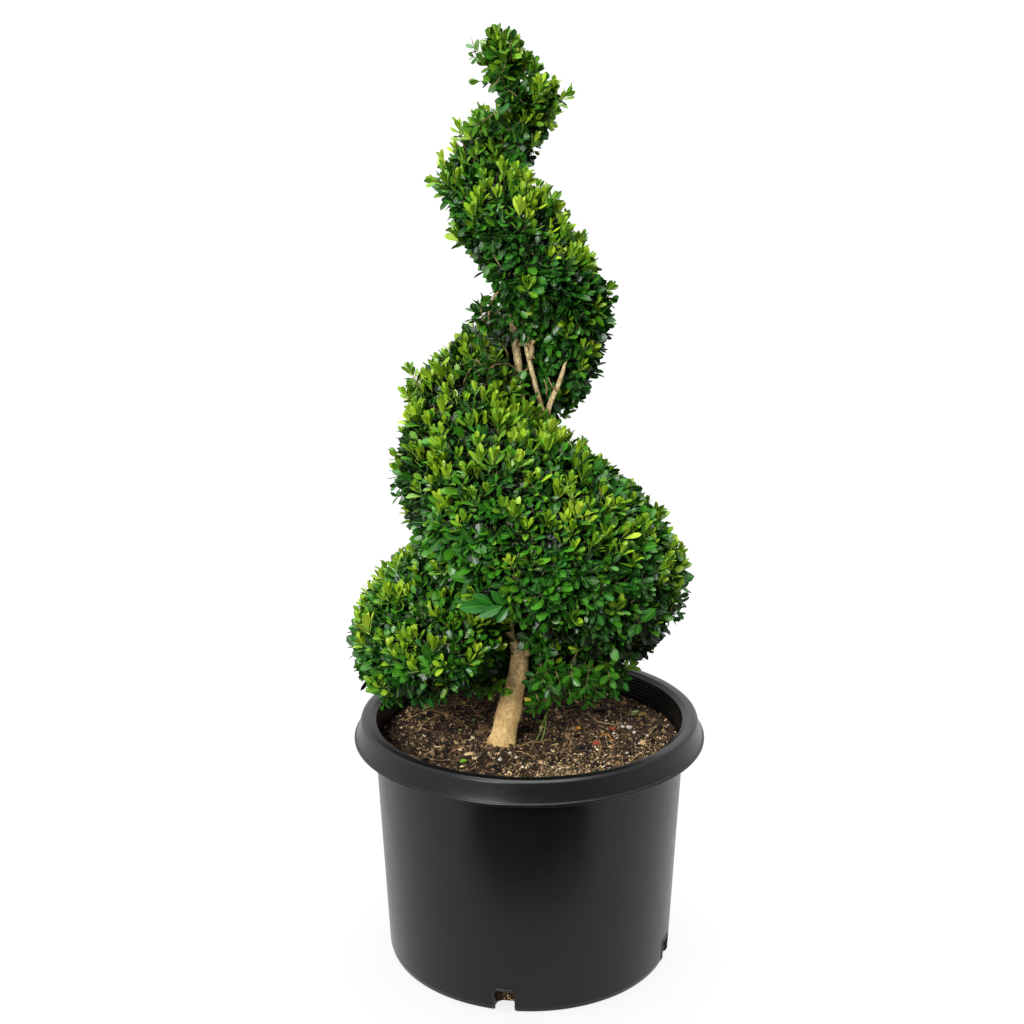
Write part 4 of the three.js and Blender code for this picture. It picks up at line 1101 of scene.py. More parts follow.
centre = leaf["base"] + leaf["axis"] * leaf["L"][:, None] * 0.5
clear = np.zeros(len(centre), bool)
zz = np.arange(300, 386, 6.0)
line = np.concatenate([stem_at(zz)[:, :2], zz[:, None]], 1) * 0.001
clear |= near_line(centre, line, np.interp(zz, [300, 360, 386], [19.0, 17.0, 11.0]))
zz = np.arange(734, 780, 6.0)
line = np.concatenate([stem_at(zz)[:, :2], zz[:, None]], 1) * 0.001
clear |= near_line(centre, line, np.full(len(line), 9.0))
for key in ("bough_groove_left", "bough_groove_right"):
    line = bezier_path(BOUGHS[key][0], 20) * 0.001
    top_z = 0.755 if key.endswith("left") else 0.730
    line = line[(line[:, 2] > 0.686) & (line[:, 2] < top_z)]
    clear |= near_line(centre, line, np.full(len(line), 7.6)) & (rng.random(len(centre)) < 0.94)
clear |= near_line(centre, np.array([[-0.066, big_y, 0.498], [-0.038, big_y, 0.498]]), np.full(2, 11.0)) & (rng.random(len(centre)) < 0.8)
clear &= ~placed
leaf = {k: v[~clear] for k, v in leaf.items()}
centre = centre[~clear]
placed = placed[~clear]

out_field = sample(FIELD, centre)
skin = kdtree.KDTree(len(cand))
for i, q in enumerate(cand):
    skin.insert(q, i)
skin.balance()
below = np.array([skin.find(q)[2] for q in centre]) * np.where(out_field > 0.5, 1, -1)
dice = rng.random(len(centre))
# painted shade: leaves lying deeper under the outline get the deep and then the near-black inner tint, so the inside of
# the bush reads dark
painted_shade_depth = 0.0115 + 0.0012 * smooth(0.72, 0.78, centre[:, 2])
leaf["tint"] = np.where((below > painted_shade_depth) & ~placed & (dice < 0.55), TINT["leaf_deep_and_painted_shade"], leaf["tint"])
leaf["tint"] = np.where((below > painted_shade_depth + 0.0035) & ~placed & (dice < 0.9), TINT["leaf_inner_painted_shade"], leaf["tint"])
# painted shade: leaves on the low undersides of the masses are dealt the deep and near-black inner tints
face_up = -unit(sample(GRAD, centre))[:, 2]
shade = (face_up < -0.30) & (centre[:, 2] < 0.47) & (below > 0.004) & ~placed
leaf["tint"] = np.where(shade & (dice < 0.80), TINT["leaf_deep_and_painted_shade"], leaf["tint"])
leaf["tint"] = np.where(shade & (dice < 0.45), TINT["leaf_inner_painted_shade"], leaf["tint"])
n_leaf = len(centre)
FINE_COUNT = 30500
rank = np.argsort(below - np.where(leaf["new"], 0.004, 0) - np.where(placed, 1, 0))
fine_set = np.zeros(n_leaf, bool)
fine_set[rank[:FINE_COUNT]] = True

tri_total = 0
for k, name in enumerate(MASSES, 1):
    bag = Bag()
    here = leaf["mass"] == k
    large = leaf["tint"] == TINT["leaf_large"]
    for tpl, sel in ((LARGE, here & large), (FINE, here & fine_set & ~leaf["new"] & ~large), (FINE_NEW, here & fine_set & leaf["new"]), (COARSE, here & ~fine_set)):
        if not sel.any():
            continue
        V, T, rib = lay_leaves(tpl, leaf["base"][sel], leaf["axis"][sel], leaf["nrm"][sel], leaf["L"][sel], leaf["W"][sel], leaf["cup"][sel], leaf["curl"][sel])
        per = len(T) // sel.sum()
        mat = np.where(rib, np.repeat(leaf["rib"][sel], per), np.repeat(leaf["tint"][sel], per))
        bag.add(V, T, mat)
    ob = bag.build(name.replace("foliage", "leaves"), LEAF_MATS)
    tri_total += len(ob.data.polygons)
    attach(ob, "root")
    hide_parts(name)
    print(name, len(ob.data.polygons), int(here.sum()))
print("leaf triangles", tri_total, "leaves", n_leaf, "shoots", n_shoot, "hubs", len(hubs), "limb tris", len(limb_ob.data.polygons))


# ------------------------------------------------------------------ trunk
def trunk():
    z = np.concatenate([np.arange(266, 402, 0.9), np.arange(402, 1092.5, 3.0)])
    sides = 72
    a = np.arange(sides) / sides * 2 * math.pi
    c = stem_at(np.maximum(z, 272))
    zz, aa = np.meshgrid(z, a, indexing="ij")
    r = (c[:, 2] * (1 - 0.20 * smooth(690, 722, z) * smooth(835, 800, z)))[:, None]
    lowz = np.clip(1 - (zz - 272) / 26, 0, 1.2)
    lobe = 1 + 0.16 * lowz ** 2 * (np.cos(aa - math.radians(190)) + 0.6 * np.cos(3 * aa + 1))
    wave = 1 + 0.035 * np.sin(3 * aa + zz * 0.06) + 0.025 * np.sin(5 * aa - zz * 0.031)
    rr = r * lobe * wave
    P = np.stack([np.cos(aa) * 12, np.sin(aa) * 12, zz * 0.30], -1) * 0.001
    rel = np.clip((zz - 320) / 40, 0.25, 1.0) * np.clip(r / 12, 0.25, 1.1)
    rr = rr + fractal(P, 210, 3, 4, 0.6) * 0.55 * rel
    P2 = np.stack([np.cos(aa) * 12, np.sin(aa) * 12, zz * 0.9], -1) * 0.001
    rr = rr + fractal(P2, 75, 8, 2) * 0.7 * np.clip(r / 12, 0.2, 1.1)
    # a pruned-off twig's scar facing front, and a low swelling on the left
    def at(az, z0, wz, wa):
        da = (aa - math.radians(az) + math.pi) % (2 * math.pi) - math.pi
        return np.sqrt(((zz - z0) / wz) ** 2 + (da * r / wa) ** 2)
    q = at(276, 369.5, 4.6, 4.6)
    rr = rr + 1.5 * np.exp(-((q - 0.95) / 0.30) ** 2) - 1.1 * np.exp(-(q / 0.55) ** 2)
    # the toe of a root on the left, and the folds that run up from it
    q = at(192, 280.5, 5.5, 7.5)
    rr = rr + 2.6 * np.exp(-q ** 2)
    q = at(200, 287, 13, 4.5)
    rr = rr + 1.2 * np.exp(-q ** 2)
    q = at(318, 276, 9, 5)
    rr = rr + 1.8 * np.exp(-q ** 2)
    q = at(60, 277, 7, 8)
    rr = rr + 3.0 * np.exp(-q ** 2)
    # shallow ring folds where it was cut back, higher up
    for zf, af, amp in ((341, 250, 0.7), (356, 300, 0.9), (378, 262, 0.8), (329, 300, 0.5)):
        q = at(af, zf, 2.0, 12)
        rr = rr + amp * np.exp(-q ** 2)
    q = at(186, 352, 6, 6)
    rr = rr + 1.9 * np.exp(-(q / 0.8) ** 2)
    q = at(256, 306.5, 0.7, 5)
    rr = rr - 0.9 * np.exp(-q ** 2)
    V = np.stack([c[:, 0][:, None] + rr * np.cos(aa), c[:, 1][:, None] + rr * np.sin(aa), zz], -1) * 0.001
    k = len(z)
    idx = np.arange(k * sides).reshape(k, sides)
    nx = np.roll(idx, -1, 1)
    T = [np.stack([idx[:-1], nx[:-1], nx[1:]], -1).reshape(-1, 3), np.stack([idx[:-1], nx[1:], idx[1:]], -1).reshape(-1, 3)]
    V = V.reshape(-1, 3)
    ends = np.array([V[:sides].mean(0), V[-sides:].mean(0) + [0, 0, 0.0006]])
    n = len(V)
    V = np.vstack([V, ends])
    T.append(np.stack([nx[0], idx[0], np.full(sides, n)], -1))
    T.append(np.stack([idx[-1], nx[-1], np.full(sides, n + 1)], -1))
    T = np.concatenate(T)
    ob = make_mesh("trunk_bark", V, T, np.zeros(len(T), int), [BARK])
    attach(ob, "root")
    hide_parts("trunk")


def boughs():
    for key, (pts, r0, r1) in BOUGHS.items():
        k, sides = 90, 40
        path = bezier_path(pts, k)
        t = np.linspace(0, 1, k)
        T = unit(np.gradient(path, axis=0))
        X = unit(np.cross(T, np.array([0, 1.0, 0.1])))
        Y = np.cross(T, X)
        a = np.arange(sides) / sides * 2 * math.pi
        r = (r0 + (r1 - r0) * t)[:, None] * ((0.74 - (0.30 if "right" in key else 0.10) * smooth(0.45, 0.95, t))[:, None] if "groove" in key else 1.0) * (1 + 0.05 * np.sin(3 * a[None] + 9 * t[:, None]))
        dirs = np.cos(a)[None, :, None] * X[:, None] + np.sin(a)[None, :, None] * Y[:, None]
        P = (path[:, None] + dirs * r[..., None]) * 0.001
        r = r + fractal(P * [1, 1, 0.5], 260, 4, 3) * 0.42 * min(1.0, r0 / 5)
        # growth rings where side twigs were cut
        for c0, side in ((0.32, 1.2), (0.63, 3.9), (0.86, 2.2)):
            da = (a[None] - side + math.pi) % (2 * math.pi) - math.pi
            L = 0.001 * k
            q = np.sqrt(((t[:, None] - c0) / 0.035) ** 2 + (da / 0.8) ** 2)
            r = r + 0.9 * np.exp(-q ** 2)
        V = (path[:, None] + dirs * r[..., None]) * 0.001
        idx = np.arange(k * sides).reshape(k, sides)
        nx = np.roll(idx, -1, 1)
        tri = [np.stack([idx[:-1], nx[:-1], nx[1:]], -1).reshape(-1, 3), np.stack([idx[:-1], nx[1:], idx[1:]], -1).reshape(-1, 3)]
        V = V.reshape(-1, 3)
        n = len(V)
        V = np.vstack([V, path[:1] * 0.001, path[-1:] * 0.001])
        tri.append(np.stack([nx[0], idx[0], np.full(sides, n)], -1))
        tri.append(np.stack([idx[-1], nx[-1], np.full(sides, n + 1)], -1))
        tri = np.concatenate(tri)
        ob = make_mesh(key + "_bark", V, tri, np.zeros(len(tri), int), [BOUGH_BARK])
        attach(ob, "root")
        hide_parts(key)


trunk()
boughs()

# ------------------------------------------------------------------ pot
POT_H, RIM_IN, RIM_OUT, SKIRT_R, SKIRT_Z = 307.0, 191.0, 205.0, 215.0, 279.0
WALL, FLOOR, FOOT_R = 2.6, 3.0, 173.0
NOTCH = [-10, 71, 170, 250.7]
NOTCH_W, NOTCH_H = 24.0, 27.5


def wall_r(z):
    return 176.8 + 0.0473 * z


def rounded(points):
    """Profile rows (r, z, fillet radius) turned into points with round corners."""
    out = []
    n = len(points)
    for i, (r, z, f) in enumerate(points):
        p = np.array([r, z], float)
        if f <= 0 or i in (0, n - 1):
            out.append(p)
            continue
        a = np.array(points[i - 1][:2], float) - p
        b = np.array(points[i + 1][:2], float) - p
        la, lb = np.linalg.norm(a), np.linalg.norm(b)
        a, b = a / la, b / lb
        cos = np.clip(a @ b, -0.9999, 0.9999)
        half_angle = math.acos(cos) / 2
        cut = min(f / math.tan(half_angle), la * 0.49, lb * 0.49)
        steps = 5
        for s in range(steps + 1):
            t = s / steps
            out.append((1 - t) ** 2 * (p + a * cut) + 2 * t * (1 - t) * p + t * t * (p + b * cut))
    return np.array(out)


def lathe(profile, sides, wobble=None):
    """Closed mesh from a profile whose first and last points are on the axis."""
    a = np.arange(sides) / sides * 2 * math.pi
    ring = profile[1:-1]
    V = np.stack([ring[:, 0][:, None] * np.cos(a), ring[:, 0][:, None] * np.sin(a), np.repeat(ring[:, 1][:, None], sides, 1)], -1)
    k = len(ring)
    V = V.reshape(-1, 3)
    idx = np.arange(k * sides).reshape(k, sides)
    nx = np.roll(idx, -1, 1)
    T = [np.stack([idx[:-1], nx[:-1], nx[1:]], -1).reshape(-1, 3), np.stack([idx[:-1], nx[1:], idx[1:]], -1).reshape(-1, 3)]
    n = len(V)
    V = np.vstack([V, [0, 0, profile[0][1]], [0, 0, profile[-1][1]]])
    T.append(np.stack([nx[0], idx[0], np.full(sides, n)], -1))
    T.append(np.stack([idx[-1], nx[-1], np.full(sides, n + 1)], -1))
    return V, np.concatenate(T)


def prism(low_ring, high_ring, angle):
    """A closed prism between two matching rings of points in mm, turned about the pot's axis."""
    bm = bmesh.new()
    a = [bm.verts.new(q) for q in low_ring]
    b = [bm.verts.new(q) for q in high_ring]
    n = len(a)
    for i in range(n):
        j = (i + 1) % n
        bm.faces.new((a[i], a[j], b[j], b[i]))
    for i in range(n // 2 - 1):                     # the rings mirror, so the ends are strips across
        bm.faces.new((a[i + 1], a[i], a[n - 1 - i], a[n - 2 - i]))
        bm.faces.new((b[i], b[i + 1], b[n - 2 - i], b[n - 1 - i]))
    bmesh.ops.recalc_face_normals(bm, faces=bm.faces)
    rot = Matrix.Rotation(math.radians(angle), 4, "Z")
    bmesh.ops.transform(bm, matrix=Matrix.Scale(0.001, 4) @ rot, verts=bm.verts)
    me = bpy.data.meshes.new("cut")
    bm.to_mesh(me)
    bm.free()
    ob = bpy.data.objects.new("cut", me)
    bpy.context.scene.collection.objects.link(ob)
    return ob


def cutter(angle, width, height, inner, outer, bevel, flare=0.0):
    """A notch through the wall: rounded above, its lower corners flared."""
    hw = width / 2
    right = [(hw + flare, -10.0)]
    if flare:
        right += [(hw + flare - flare * math.sin(t), flare - flare * math.cos(t)) for t in np.linspace(0.32, math.pi / 2, 5)]
    right += [(hw - bevel + bevel * math.cos(t), height - bevel + bevel * math.sin(t)) for t in np.linspace(0, math.pi / 2, 5)]
    outline = right + [(-x, z) for x, z in right[::-1]]
    return prism([(x, -inner, z) for x, z in outline], [(x, -outer, z) for x, z in outline], angle)


def recess(angle, width, inner, outer, top):
    """The round-ended recess moulded in the pot's floor behind a notch."""
    hw = width / 2
    ring = [(hw, -outer), (hw, -(inner + 9.0))] + [(hw * math.cos(t), -(inner + 9.0) + 9.0 * math.sin(t)) for t in np.linspace(0, math.pi / 2, 8)[1:-1]]
    ring += [(-x, y) for x, y in ring[::-1]]
    return prism([(x, y, -10.0) for x, y in ring], [(x, y, top) for x, y in ring], angle)


def carve(ob, cutters):
    for c in cutters:
        mod = ob.modifiers.new("cut", "BOOLEAN")
        mod.operation, mod.object, mod.solver = "DIFFERENCE", c, "EXACT"
    dg = bpy.context.evaluated_depsgraph_get()
    dg.update()
    me = bpy.data.meshes.new_from_object(ob.evaluated_get(dg), depsgraph=dg)
    ob.modifiers.clear()
    ob.data = me
    for c in cutters:
        data = c.data
        bpy.data.objects.remove(c)
        bpy.data.meshes.remove(data)
    bm = bmesh.new()
    bm.from_mesh(me)
    bmesh.ops.dissolve_degenerate(bm, dist=1e-7, edges=bm.edges)
    bm.to_mesh(me)
    bm.free()


def pot():
    under = POT_H - WALL
    outer = [
        (0, 1.4, 0), (146, 1.4, 0.6), (147.5, 0, 0.6), (FOOT_R + 2.2, 0, 3.2), (wall_r(7), 7, 4),
        (wall_r(60), 60, 0), (wall_r(140), 140, 0), (wall_r(220), 220, 0), (wall_r(SKIRT_Z), SKIRT_Z, 0),
        (wall_r(under), under, 1.2), (RIM_OUT - 2.6, under, 1.6), (SKIRT_R - 2.6, SKIRT_Z, 0.6),
        (SKIRT_R - 0.1, SKIRT_Z, 1.2), (SKIRT_R - 0.1, SKIRT_Z + 3.4, 2.6), (SKIRT_R - 2.4, SKIRT_Z + 4.2, 0.8),
        (SKIRT_R - 5.2, SKIRT_Z + 12, 0), (SKIRT_R - 7.6, SKIRT_Z + 20, 0), (RIM_OUT + 1.0, POT_H - 3.0, 2.1), (RIM_OUT - 2.0, POT_H - 0.5, 2.6),
        (RIM_OUT - 6.0, POT_H, 0), (RIM_IN + 2.6, POT_H - 0.5, 2.2), (RIM_IN - 0.4, POT_H - 3.0, 1.8),
    ]
    prof = rounded(outer)
    inner = []
    for z in np.arange(302.5, 268.0, -0.575):
        ridge = 0.42 * (0.5 + 0.5 * math.cos((z - 303) / 4.6 * 2 * math.pi)) ** 1.6
        inner.append((wall_r(z) - WALL - 0.15 - ridge * float(smooth(268.5, 273, z)), z))
    inner += [(wall_r(200) - WALL, 200), (wall_r(100) - WALL, 100), (wall_r(8) - WALL, 8), (wall_r(FLOOR) - WALL - 4, FLOOR), (0, FLOOR)]
    prof = np.vstack([prof, np.array(inner)])
    V, T = lathe(prof, 256)
    ob = make_mesh("nursery_pot", V * 0.001, T, np.zeros(len(T), int), [PLASTIC])
    carve(ob, [cutter(a, NOTCH_W, NOTCH_H, 163, SKIRT_R, 2.6, 4.0) for a in NOTCH] + [recess(a, NOTCH_W + 1.0, 152.5, 178, FLOOR + 0.5) for a in NOTCH])
    # the raised frame moulded round each notch
    bag = Bag()
    for ang in NOTCH:
        hw, top, cr, fl = NOTCH_W / 2 + 0.9, NOTCH_H + 0.9, 3.4, 3.4
        path, out = [], []
        for t in np.linspace(0.35, math.pi / 2, 5):
            path.append((-hw - fl + fl * math.sin(t), fl - fl * math.cos(t))); out.append((-math.sin(t), math.cos(t) * 0.6))
        for z in np.linspace(fl, top - cr, 8)[1:]:
            path.append((-hw, z)); out.append((-1, 0))
        for t in np.linspace(0, math.pi / 2, 7)[1:]:
            path.append((-hw + cr - cr * math.cos(t), top - cr + cr * math.sin(t))); out.append((-math.cos(t), math.sin(t)))
        for s in np.linspace(-hw + cr, hw - cr, 9)[1:-1]:
            path.append((s, top)); out.append((0, 1))
        for t in np.linspace(math.pi / 2, 0, 7):
            path.append((hw - cr + cr * math.cos(t), top - cr + cr * math.sin(t))); out.append((math.cos(t), math.sin(t)))
        for z in np.linspace(top - cr, fl, 8)[1:]:
            path.append((hw, z)); out.append((1, 0))
        for t in np.linspace(math.pi / 2, 0.35, 5)[1:]:
            path.append((hw + fl - fl * math.sin(t), fl - fl * math.cos(t))); out.append((math.sin(t), math.cos(t) * 0.6))
        path, out = np.array(path), np.array(out)
        sect = [(-1.3, -1.4), (-1.3, 0.35), (-0.7, 0.95), (0.6, 0.95), (1.9, 0.25), (2.3, -1.4)]
        rows_ = []
        for (s, z), (ox, oz) in zip(path, out):
            ring = []
            for w, h in sect:
                ss, zz = s + ox * w, max(0.05, z + oz * w)
                foot = FOOT_R + (wall_r(9) - FOOT_R) * math.sin(min(1.0, zz / 7.0) * math.pi / 2) if zz < 9 else wall_r(zz)
                r = foot + h
                th = math.radians(ang) + ss / 177.0
                ring.append((r * math.sin(th), -r * math.cos(th), zz))
            rows_.append(ring)
        rows_ = np.array(rows_)
        k, m6 = rows_.shape[:2]
        idx = np.arange(k * m6).reshape(k, m6)
        nx = np.roll(idx, -1, 1)
        T = [np.stack([idx[:-1], nx[1:], nx[:-1]], -1).reshape(-1, 3), np.stack([idx[:-1], idx[1:], nx[1:]], -1).reshape(-1, 3)]
        for j in range(1, m6 - 1):
            T.append([[idx[0, 0], idx[0, j], idx[0, j + 1]]])
            T.append([[idx[-1, 0], idx[-1, j + 1], idx[-1, j]]])
        bag.add(rows_.reshape(-1, 3) * 0.001, np.concatenate([np.array(t) for t in T]), 0)
    frames = bag.build("notch_frames", [PLASTIC], flat=True)
    bm = bmesh.new()
    bm.from_mesh(frames.data)
    bmesh.ops.recalc_face_normals(bm, faces=bm.faces)
    bm.to_mesh(frames.data)
    bm.free()
    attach(frames, "root")
    me = ob.data
    me.polygons.foreach_set("use_smooth", np.ones(len(me.polygons), bool))
    bm = bmesh.new()
    bm.from_mesh(me)
    for e in bm.edges:
        e.smooth = e.calc_face_angle(0) < math.radians(38)
    bm.to_mesh(me)
    bm.free()
    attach(ob, "root")
    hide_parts("pot")


pot()

# ------------------------------------------------------------------ soil
SOIL_R = 186.4


def soil_height(x, y):
    """Height of the potting mix in metres at x, y in metres."""
    p = np.stack([x, y, np.zeros_like(x)], -1)
    r = np.hypot(x, y)
    h = 0.2714 + 0.0030 * fractal(p, 24, 31, 3) + 0.0026 * fractal(p, 110, 37, 2)
    h = h + 0.0030 * np.exp(-(np.hypot(x + 0.036, y + 0.026) / 0.032) ** 2)
    h = h - 0.0016 * smooth(0.165, 0.186, r)
    return h


def soil():
    nr, na = (100, 300)
    r = np.concatenate([np.linspace(0.0015, 0.17, nr - 16), np.linspace(0.1716, SOIL_R * 0.001, 16)])
    a = np.arange(na) / na * 2 * math.pi
    rr, aa = np.meshgrid(r, a, indexing="ij")
    x, y = rr * np.cos(aa), rr * np.sin(aa)
    z = soil_height(x, y)
    p = np.stack([x, y, z * 0], -1)
    z = z + 0.0018 * np.abs(fractal(p, 330, 41, 2)) + 0.0008 * fractal(p, 800, 43, 1)
    V = np.stack([x, y, z], -1)
    # side and bottom, inside the pot's wall and above its floor
    side = []
    for zb, rb in ((0.266, 186.1), (0.20, wall_r(200) - 3.2), (0.12, wall_r(120) - 3.2), (0.03, wall_r(30) - 3.2), (0.0036, wall_r(4) - 6.5)):
        side.append(np.stack([rb * 0.001 * np.cos(a), rb * 0.001 * np.sin(a), np.full(na, zb)], -1))
    V = np.concatenate([V, np.array(side)])
    k = len(V)
    V = V.reshape(-1, 3)
    idx = np.arange(k * na).reshape(k, na)
    nx = np.roll(idx, -1, 1)
    T = [np.stack([idx[:-1], nx[1:], nx[:-1]], -1).reshape(-1, 3), np.stack([idx[:-1], idx[1:], nx[1:]], -1).reshape(-1, 3)]
    n = len(V)
    V = np.vstack([V, [0, 0, V[:na, 2].mean()], [0, 0, 0.0036]])
    T.append(np.stack([idx[0], nx[0], np.full(na, n)], -1))
    T.append(np.stack([nx[-1], idx[-1], np.full(na, n + 1)], -1))
    T = np.concatenate(T)
    ob = make_mesh("potting_mix", V, T, np.zeros(len(T), int), [SOIL])
    carve(ob, [cutter(c, 31, 32, 159, 215, 6) for c in NOTCH])
    ob.data.polygons.foreach_set("use_smooth", np.ones(len(ob.data.polygons), bool))
    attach(ob, "root")
    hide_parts("soil")


soil()

LITTER_TINTS = [
    ("crumb_black", (14, 10, 7)), ("crumb_dark", (36, 27, 19)), ("crumb_brown", (76, 58, 41)), ("crumb_mid", (134, 109, 80)),
    ("chip_tan", (194, 162, 118)), ("chip_brown", (126, 98, 68)), ("chip_pale", (228, 202, 158)), ("chip_dark", (58, 45, 34)),
    ("perlite", (226, 222, 208)), ("fibre_tan", (178, 146, 98)), ("fibre_pale", (206, 180, 134)), ("fibre_brown", (120, 92, 60)),
    ("chip_orange", (206, 140, 44)), ("chip_red", (150, 72, 48)), ("fallen_leaf", (142, 118, 62)), ("fallen_green", (70, 128, 36)),
    ("seedling", (112, 138, 60)), ("moss", (98, 104, 44)), ("chip_pink", (168, 122, 94)), ("fallen_pale", (150, 168, 104)), ("fallen_bright", (112, 170, 44)),
]
LT = {n: i for i, (n, _) in enumerate(LITTER_TINTS)}
LITTER_MATS = [plain(n, c, 0.5 if n in ("fallen_green", "fallen_bright", "seedling") else 0.88, 0.3) for n, c in LITTER_TINTS]


def rotations(n, r):
    q = unit(r.normal(0, 1, (n, 4)))
    w, x, y, z = q.T
    return np.stack([np.stack([1 - 2 * (y * y + z * z), 2 * (x * y - z * w), 2 * (x * z + y * w)], -1),
                     np.stack([2 * (x * y + z * w), 1 - 2 * (x * x + z * z), 2 * (y * z - x * w)], -1),
                     np.stack([2 * (x * z - y * w), 2 * (y * z + x * w), 1 - 2 * (x * x + y * y)], -1)], -2)


def scatter_soil(n, r, rmax=0.184):
    a = r.uniform(0, 2 * math.pi, n)
    d = np.sqrt(r.random(n)) * rmax
    x, y = d * np.cos(a), d * np.sin(a)
    return x, y, soil_height(x, y)


OCTA_V = np.array([[1, 0, 0], [0, 1, 0], [-1, 0, 0], [0, -1, 0], [0, 0, 1], [0, 0, -1]], float)
OCTA_T = np.array([[0, 1, 4], [1, 2, 4], [2, 3, 4], [3, 0, 4], [1, 0, 5], [2, 1, 5], [3, 2, 5], [0, 3, 5]])
CUBE_V = np.array([[x, y, z] for x in (-1, 1) for y in (-1, 1) for z in (-1, 1)], float)
CUBE_T = np.array([[0, 1, 3], [0, 3, 2], [4, 6, 7], [4, 7, 5], [0, 4, 5], [0, 5, 1], [2, 3, 7], [2, 7, 6], [0, 2, 6], [0, 6, 4], [1, 5, 7], [1, 7, 3]])


def ico():
    bm = bmesh.new()
    bmesh.ops.create_icosphere(bm, subdivisions=1, radius=1.0)
    v = np.array([list(q.co) for q in bm.verts])
    t = np.array([[q.index for q in f.verts] for f in bm.faces])
    bm.free()
    return v, t


ICO_V, ICO_T = ico()


def lumps(bag, n, r, vt, size, squash, jitter, tints, weights, rmax=0.184, lift=0.3, tilt=None, where=None):
    V0, T0 = vt
    x, y, z = scatter_soil(n, r, rmax) if where is None else (where[0], where[1], soil_height(*where))
    s = r.uniform(size[0], size[1], (n, 1, 1)) * np.exp(r.normal(0, 0.25, (n, 1, 1)))
    shape = np.stack([np.ones(n), r.uniform(0.45, 1.0, n), r.uniform(squash[0], squash[1], n)], -1)[:, None]
    v = V0[None] * shape + r.normal(0, jitter, (n, len(V0), 3)) * shape
    R = rotations(n, r)
    if tilt is not None:
        # lie roughly flat
        a = r.uniform(0, 2 * math.pi, n)
        ca, sa = np.cos(a), np.sin(a)
        Z = np.zeros(n)
        flat = np.stack([np.stack([ca, -sa, Z], -1), np.stack([sa, ca, Z], -1), np.stack([Z, Z, Z + 1], -1)], -2)
        tx = r.normal(0, tilt, (n, 2))
        lean = np.stack([np.stack([Z + 1, Z, tx[:, 0]], -1), np.stack([Z, Z + 1, tx[:, 1]], -1), np.stack([-tx[:, 0], -tx[:, 1], Z + 1], -1)], -2)
        R = lean @ flat
    v = np.einsum("nij,nkj->nki", R, v) * s
    v = v + np.stack([x, y, z + lift * s[:, 0, 0] * shape[:, 0, 2]], -1)[:, None]
    far = np.hypot(v[..., 0], v[..., 1])
    over = np.maximum(far / 0.1858, 1.0)
    v[..., 0] /= over
    v[..., 1] /= over
    T = T0[None] + (np.arange(n) * len(V0))[:, None, None]
    mat = np.repeat(r.choice(tints, n, p=np.array(weights) / np.sum(weights)), len(T0))
    bag.add(v.reshape(-1, 3), T.reshape(-1, 3), mat)


def fibres(bag, n, r, length, radius, tints, weights, rmax=0.180, arch=0.15):
    x, y, z = scatter_soil(n, r, rmax)
    a = r.uniform(0, 2 * math.pi, n)
    L = r.uniform(length[0], length[1], n)
    bend = r.normal(0, 0.45, n)
    t = np.linspace(-0.5, 0.5, 5)[None]
    ang = a[:, None] + bend[:, None] * t * 2
    px = x[:, None] + L[:, None] * t * np.cos(ang)
    py = y[:, None] + L[:, None] * t * np.sin(ang)
    rr = np.hypot(px, py)
    over = np.maximum(rr / 0.1845, 1.0)
    px, py = px / over, py / over
    pz = soil_height(px, py) + 0.0009 + (0.25 - t * t) * 4 * r.uniform(0.0, arch, n)[:, None] * L[:, None] * 0.25
    pz = pz + r.normal(0, 0.0004, pz.shape)
    P = np.stack([px, py, pz], -1)
    R = r.uniform(radius[0], radius[1], n)[:, None] * np.array([0.6, 1.0, 1.05, 0.95, 0.5])[None]
    V, T = tubes(P, R, 3)
    per_tube = 5 * 3
    mat = r.choice(tints, n, p=np.array(weights) / np.sum(weights))[T[:, 0] // per_tube]
    bag.add(V, T, mat)


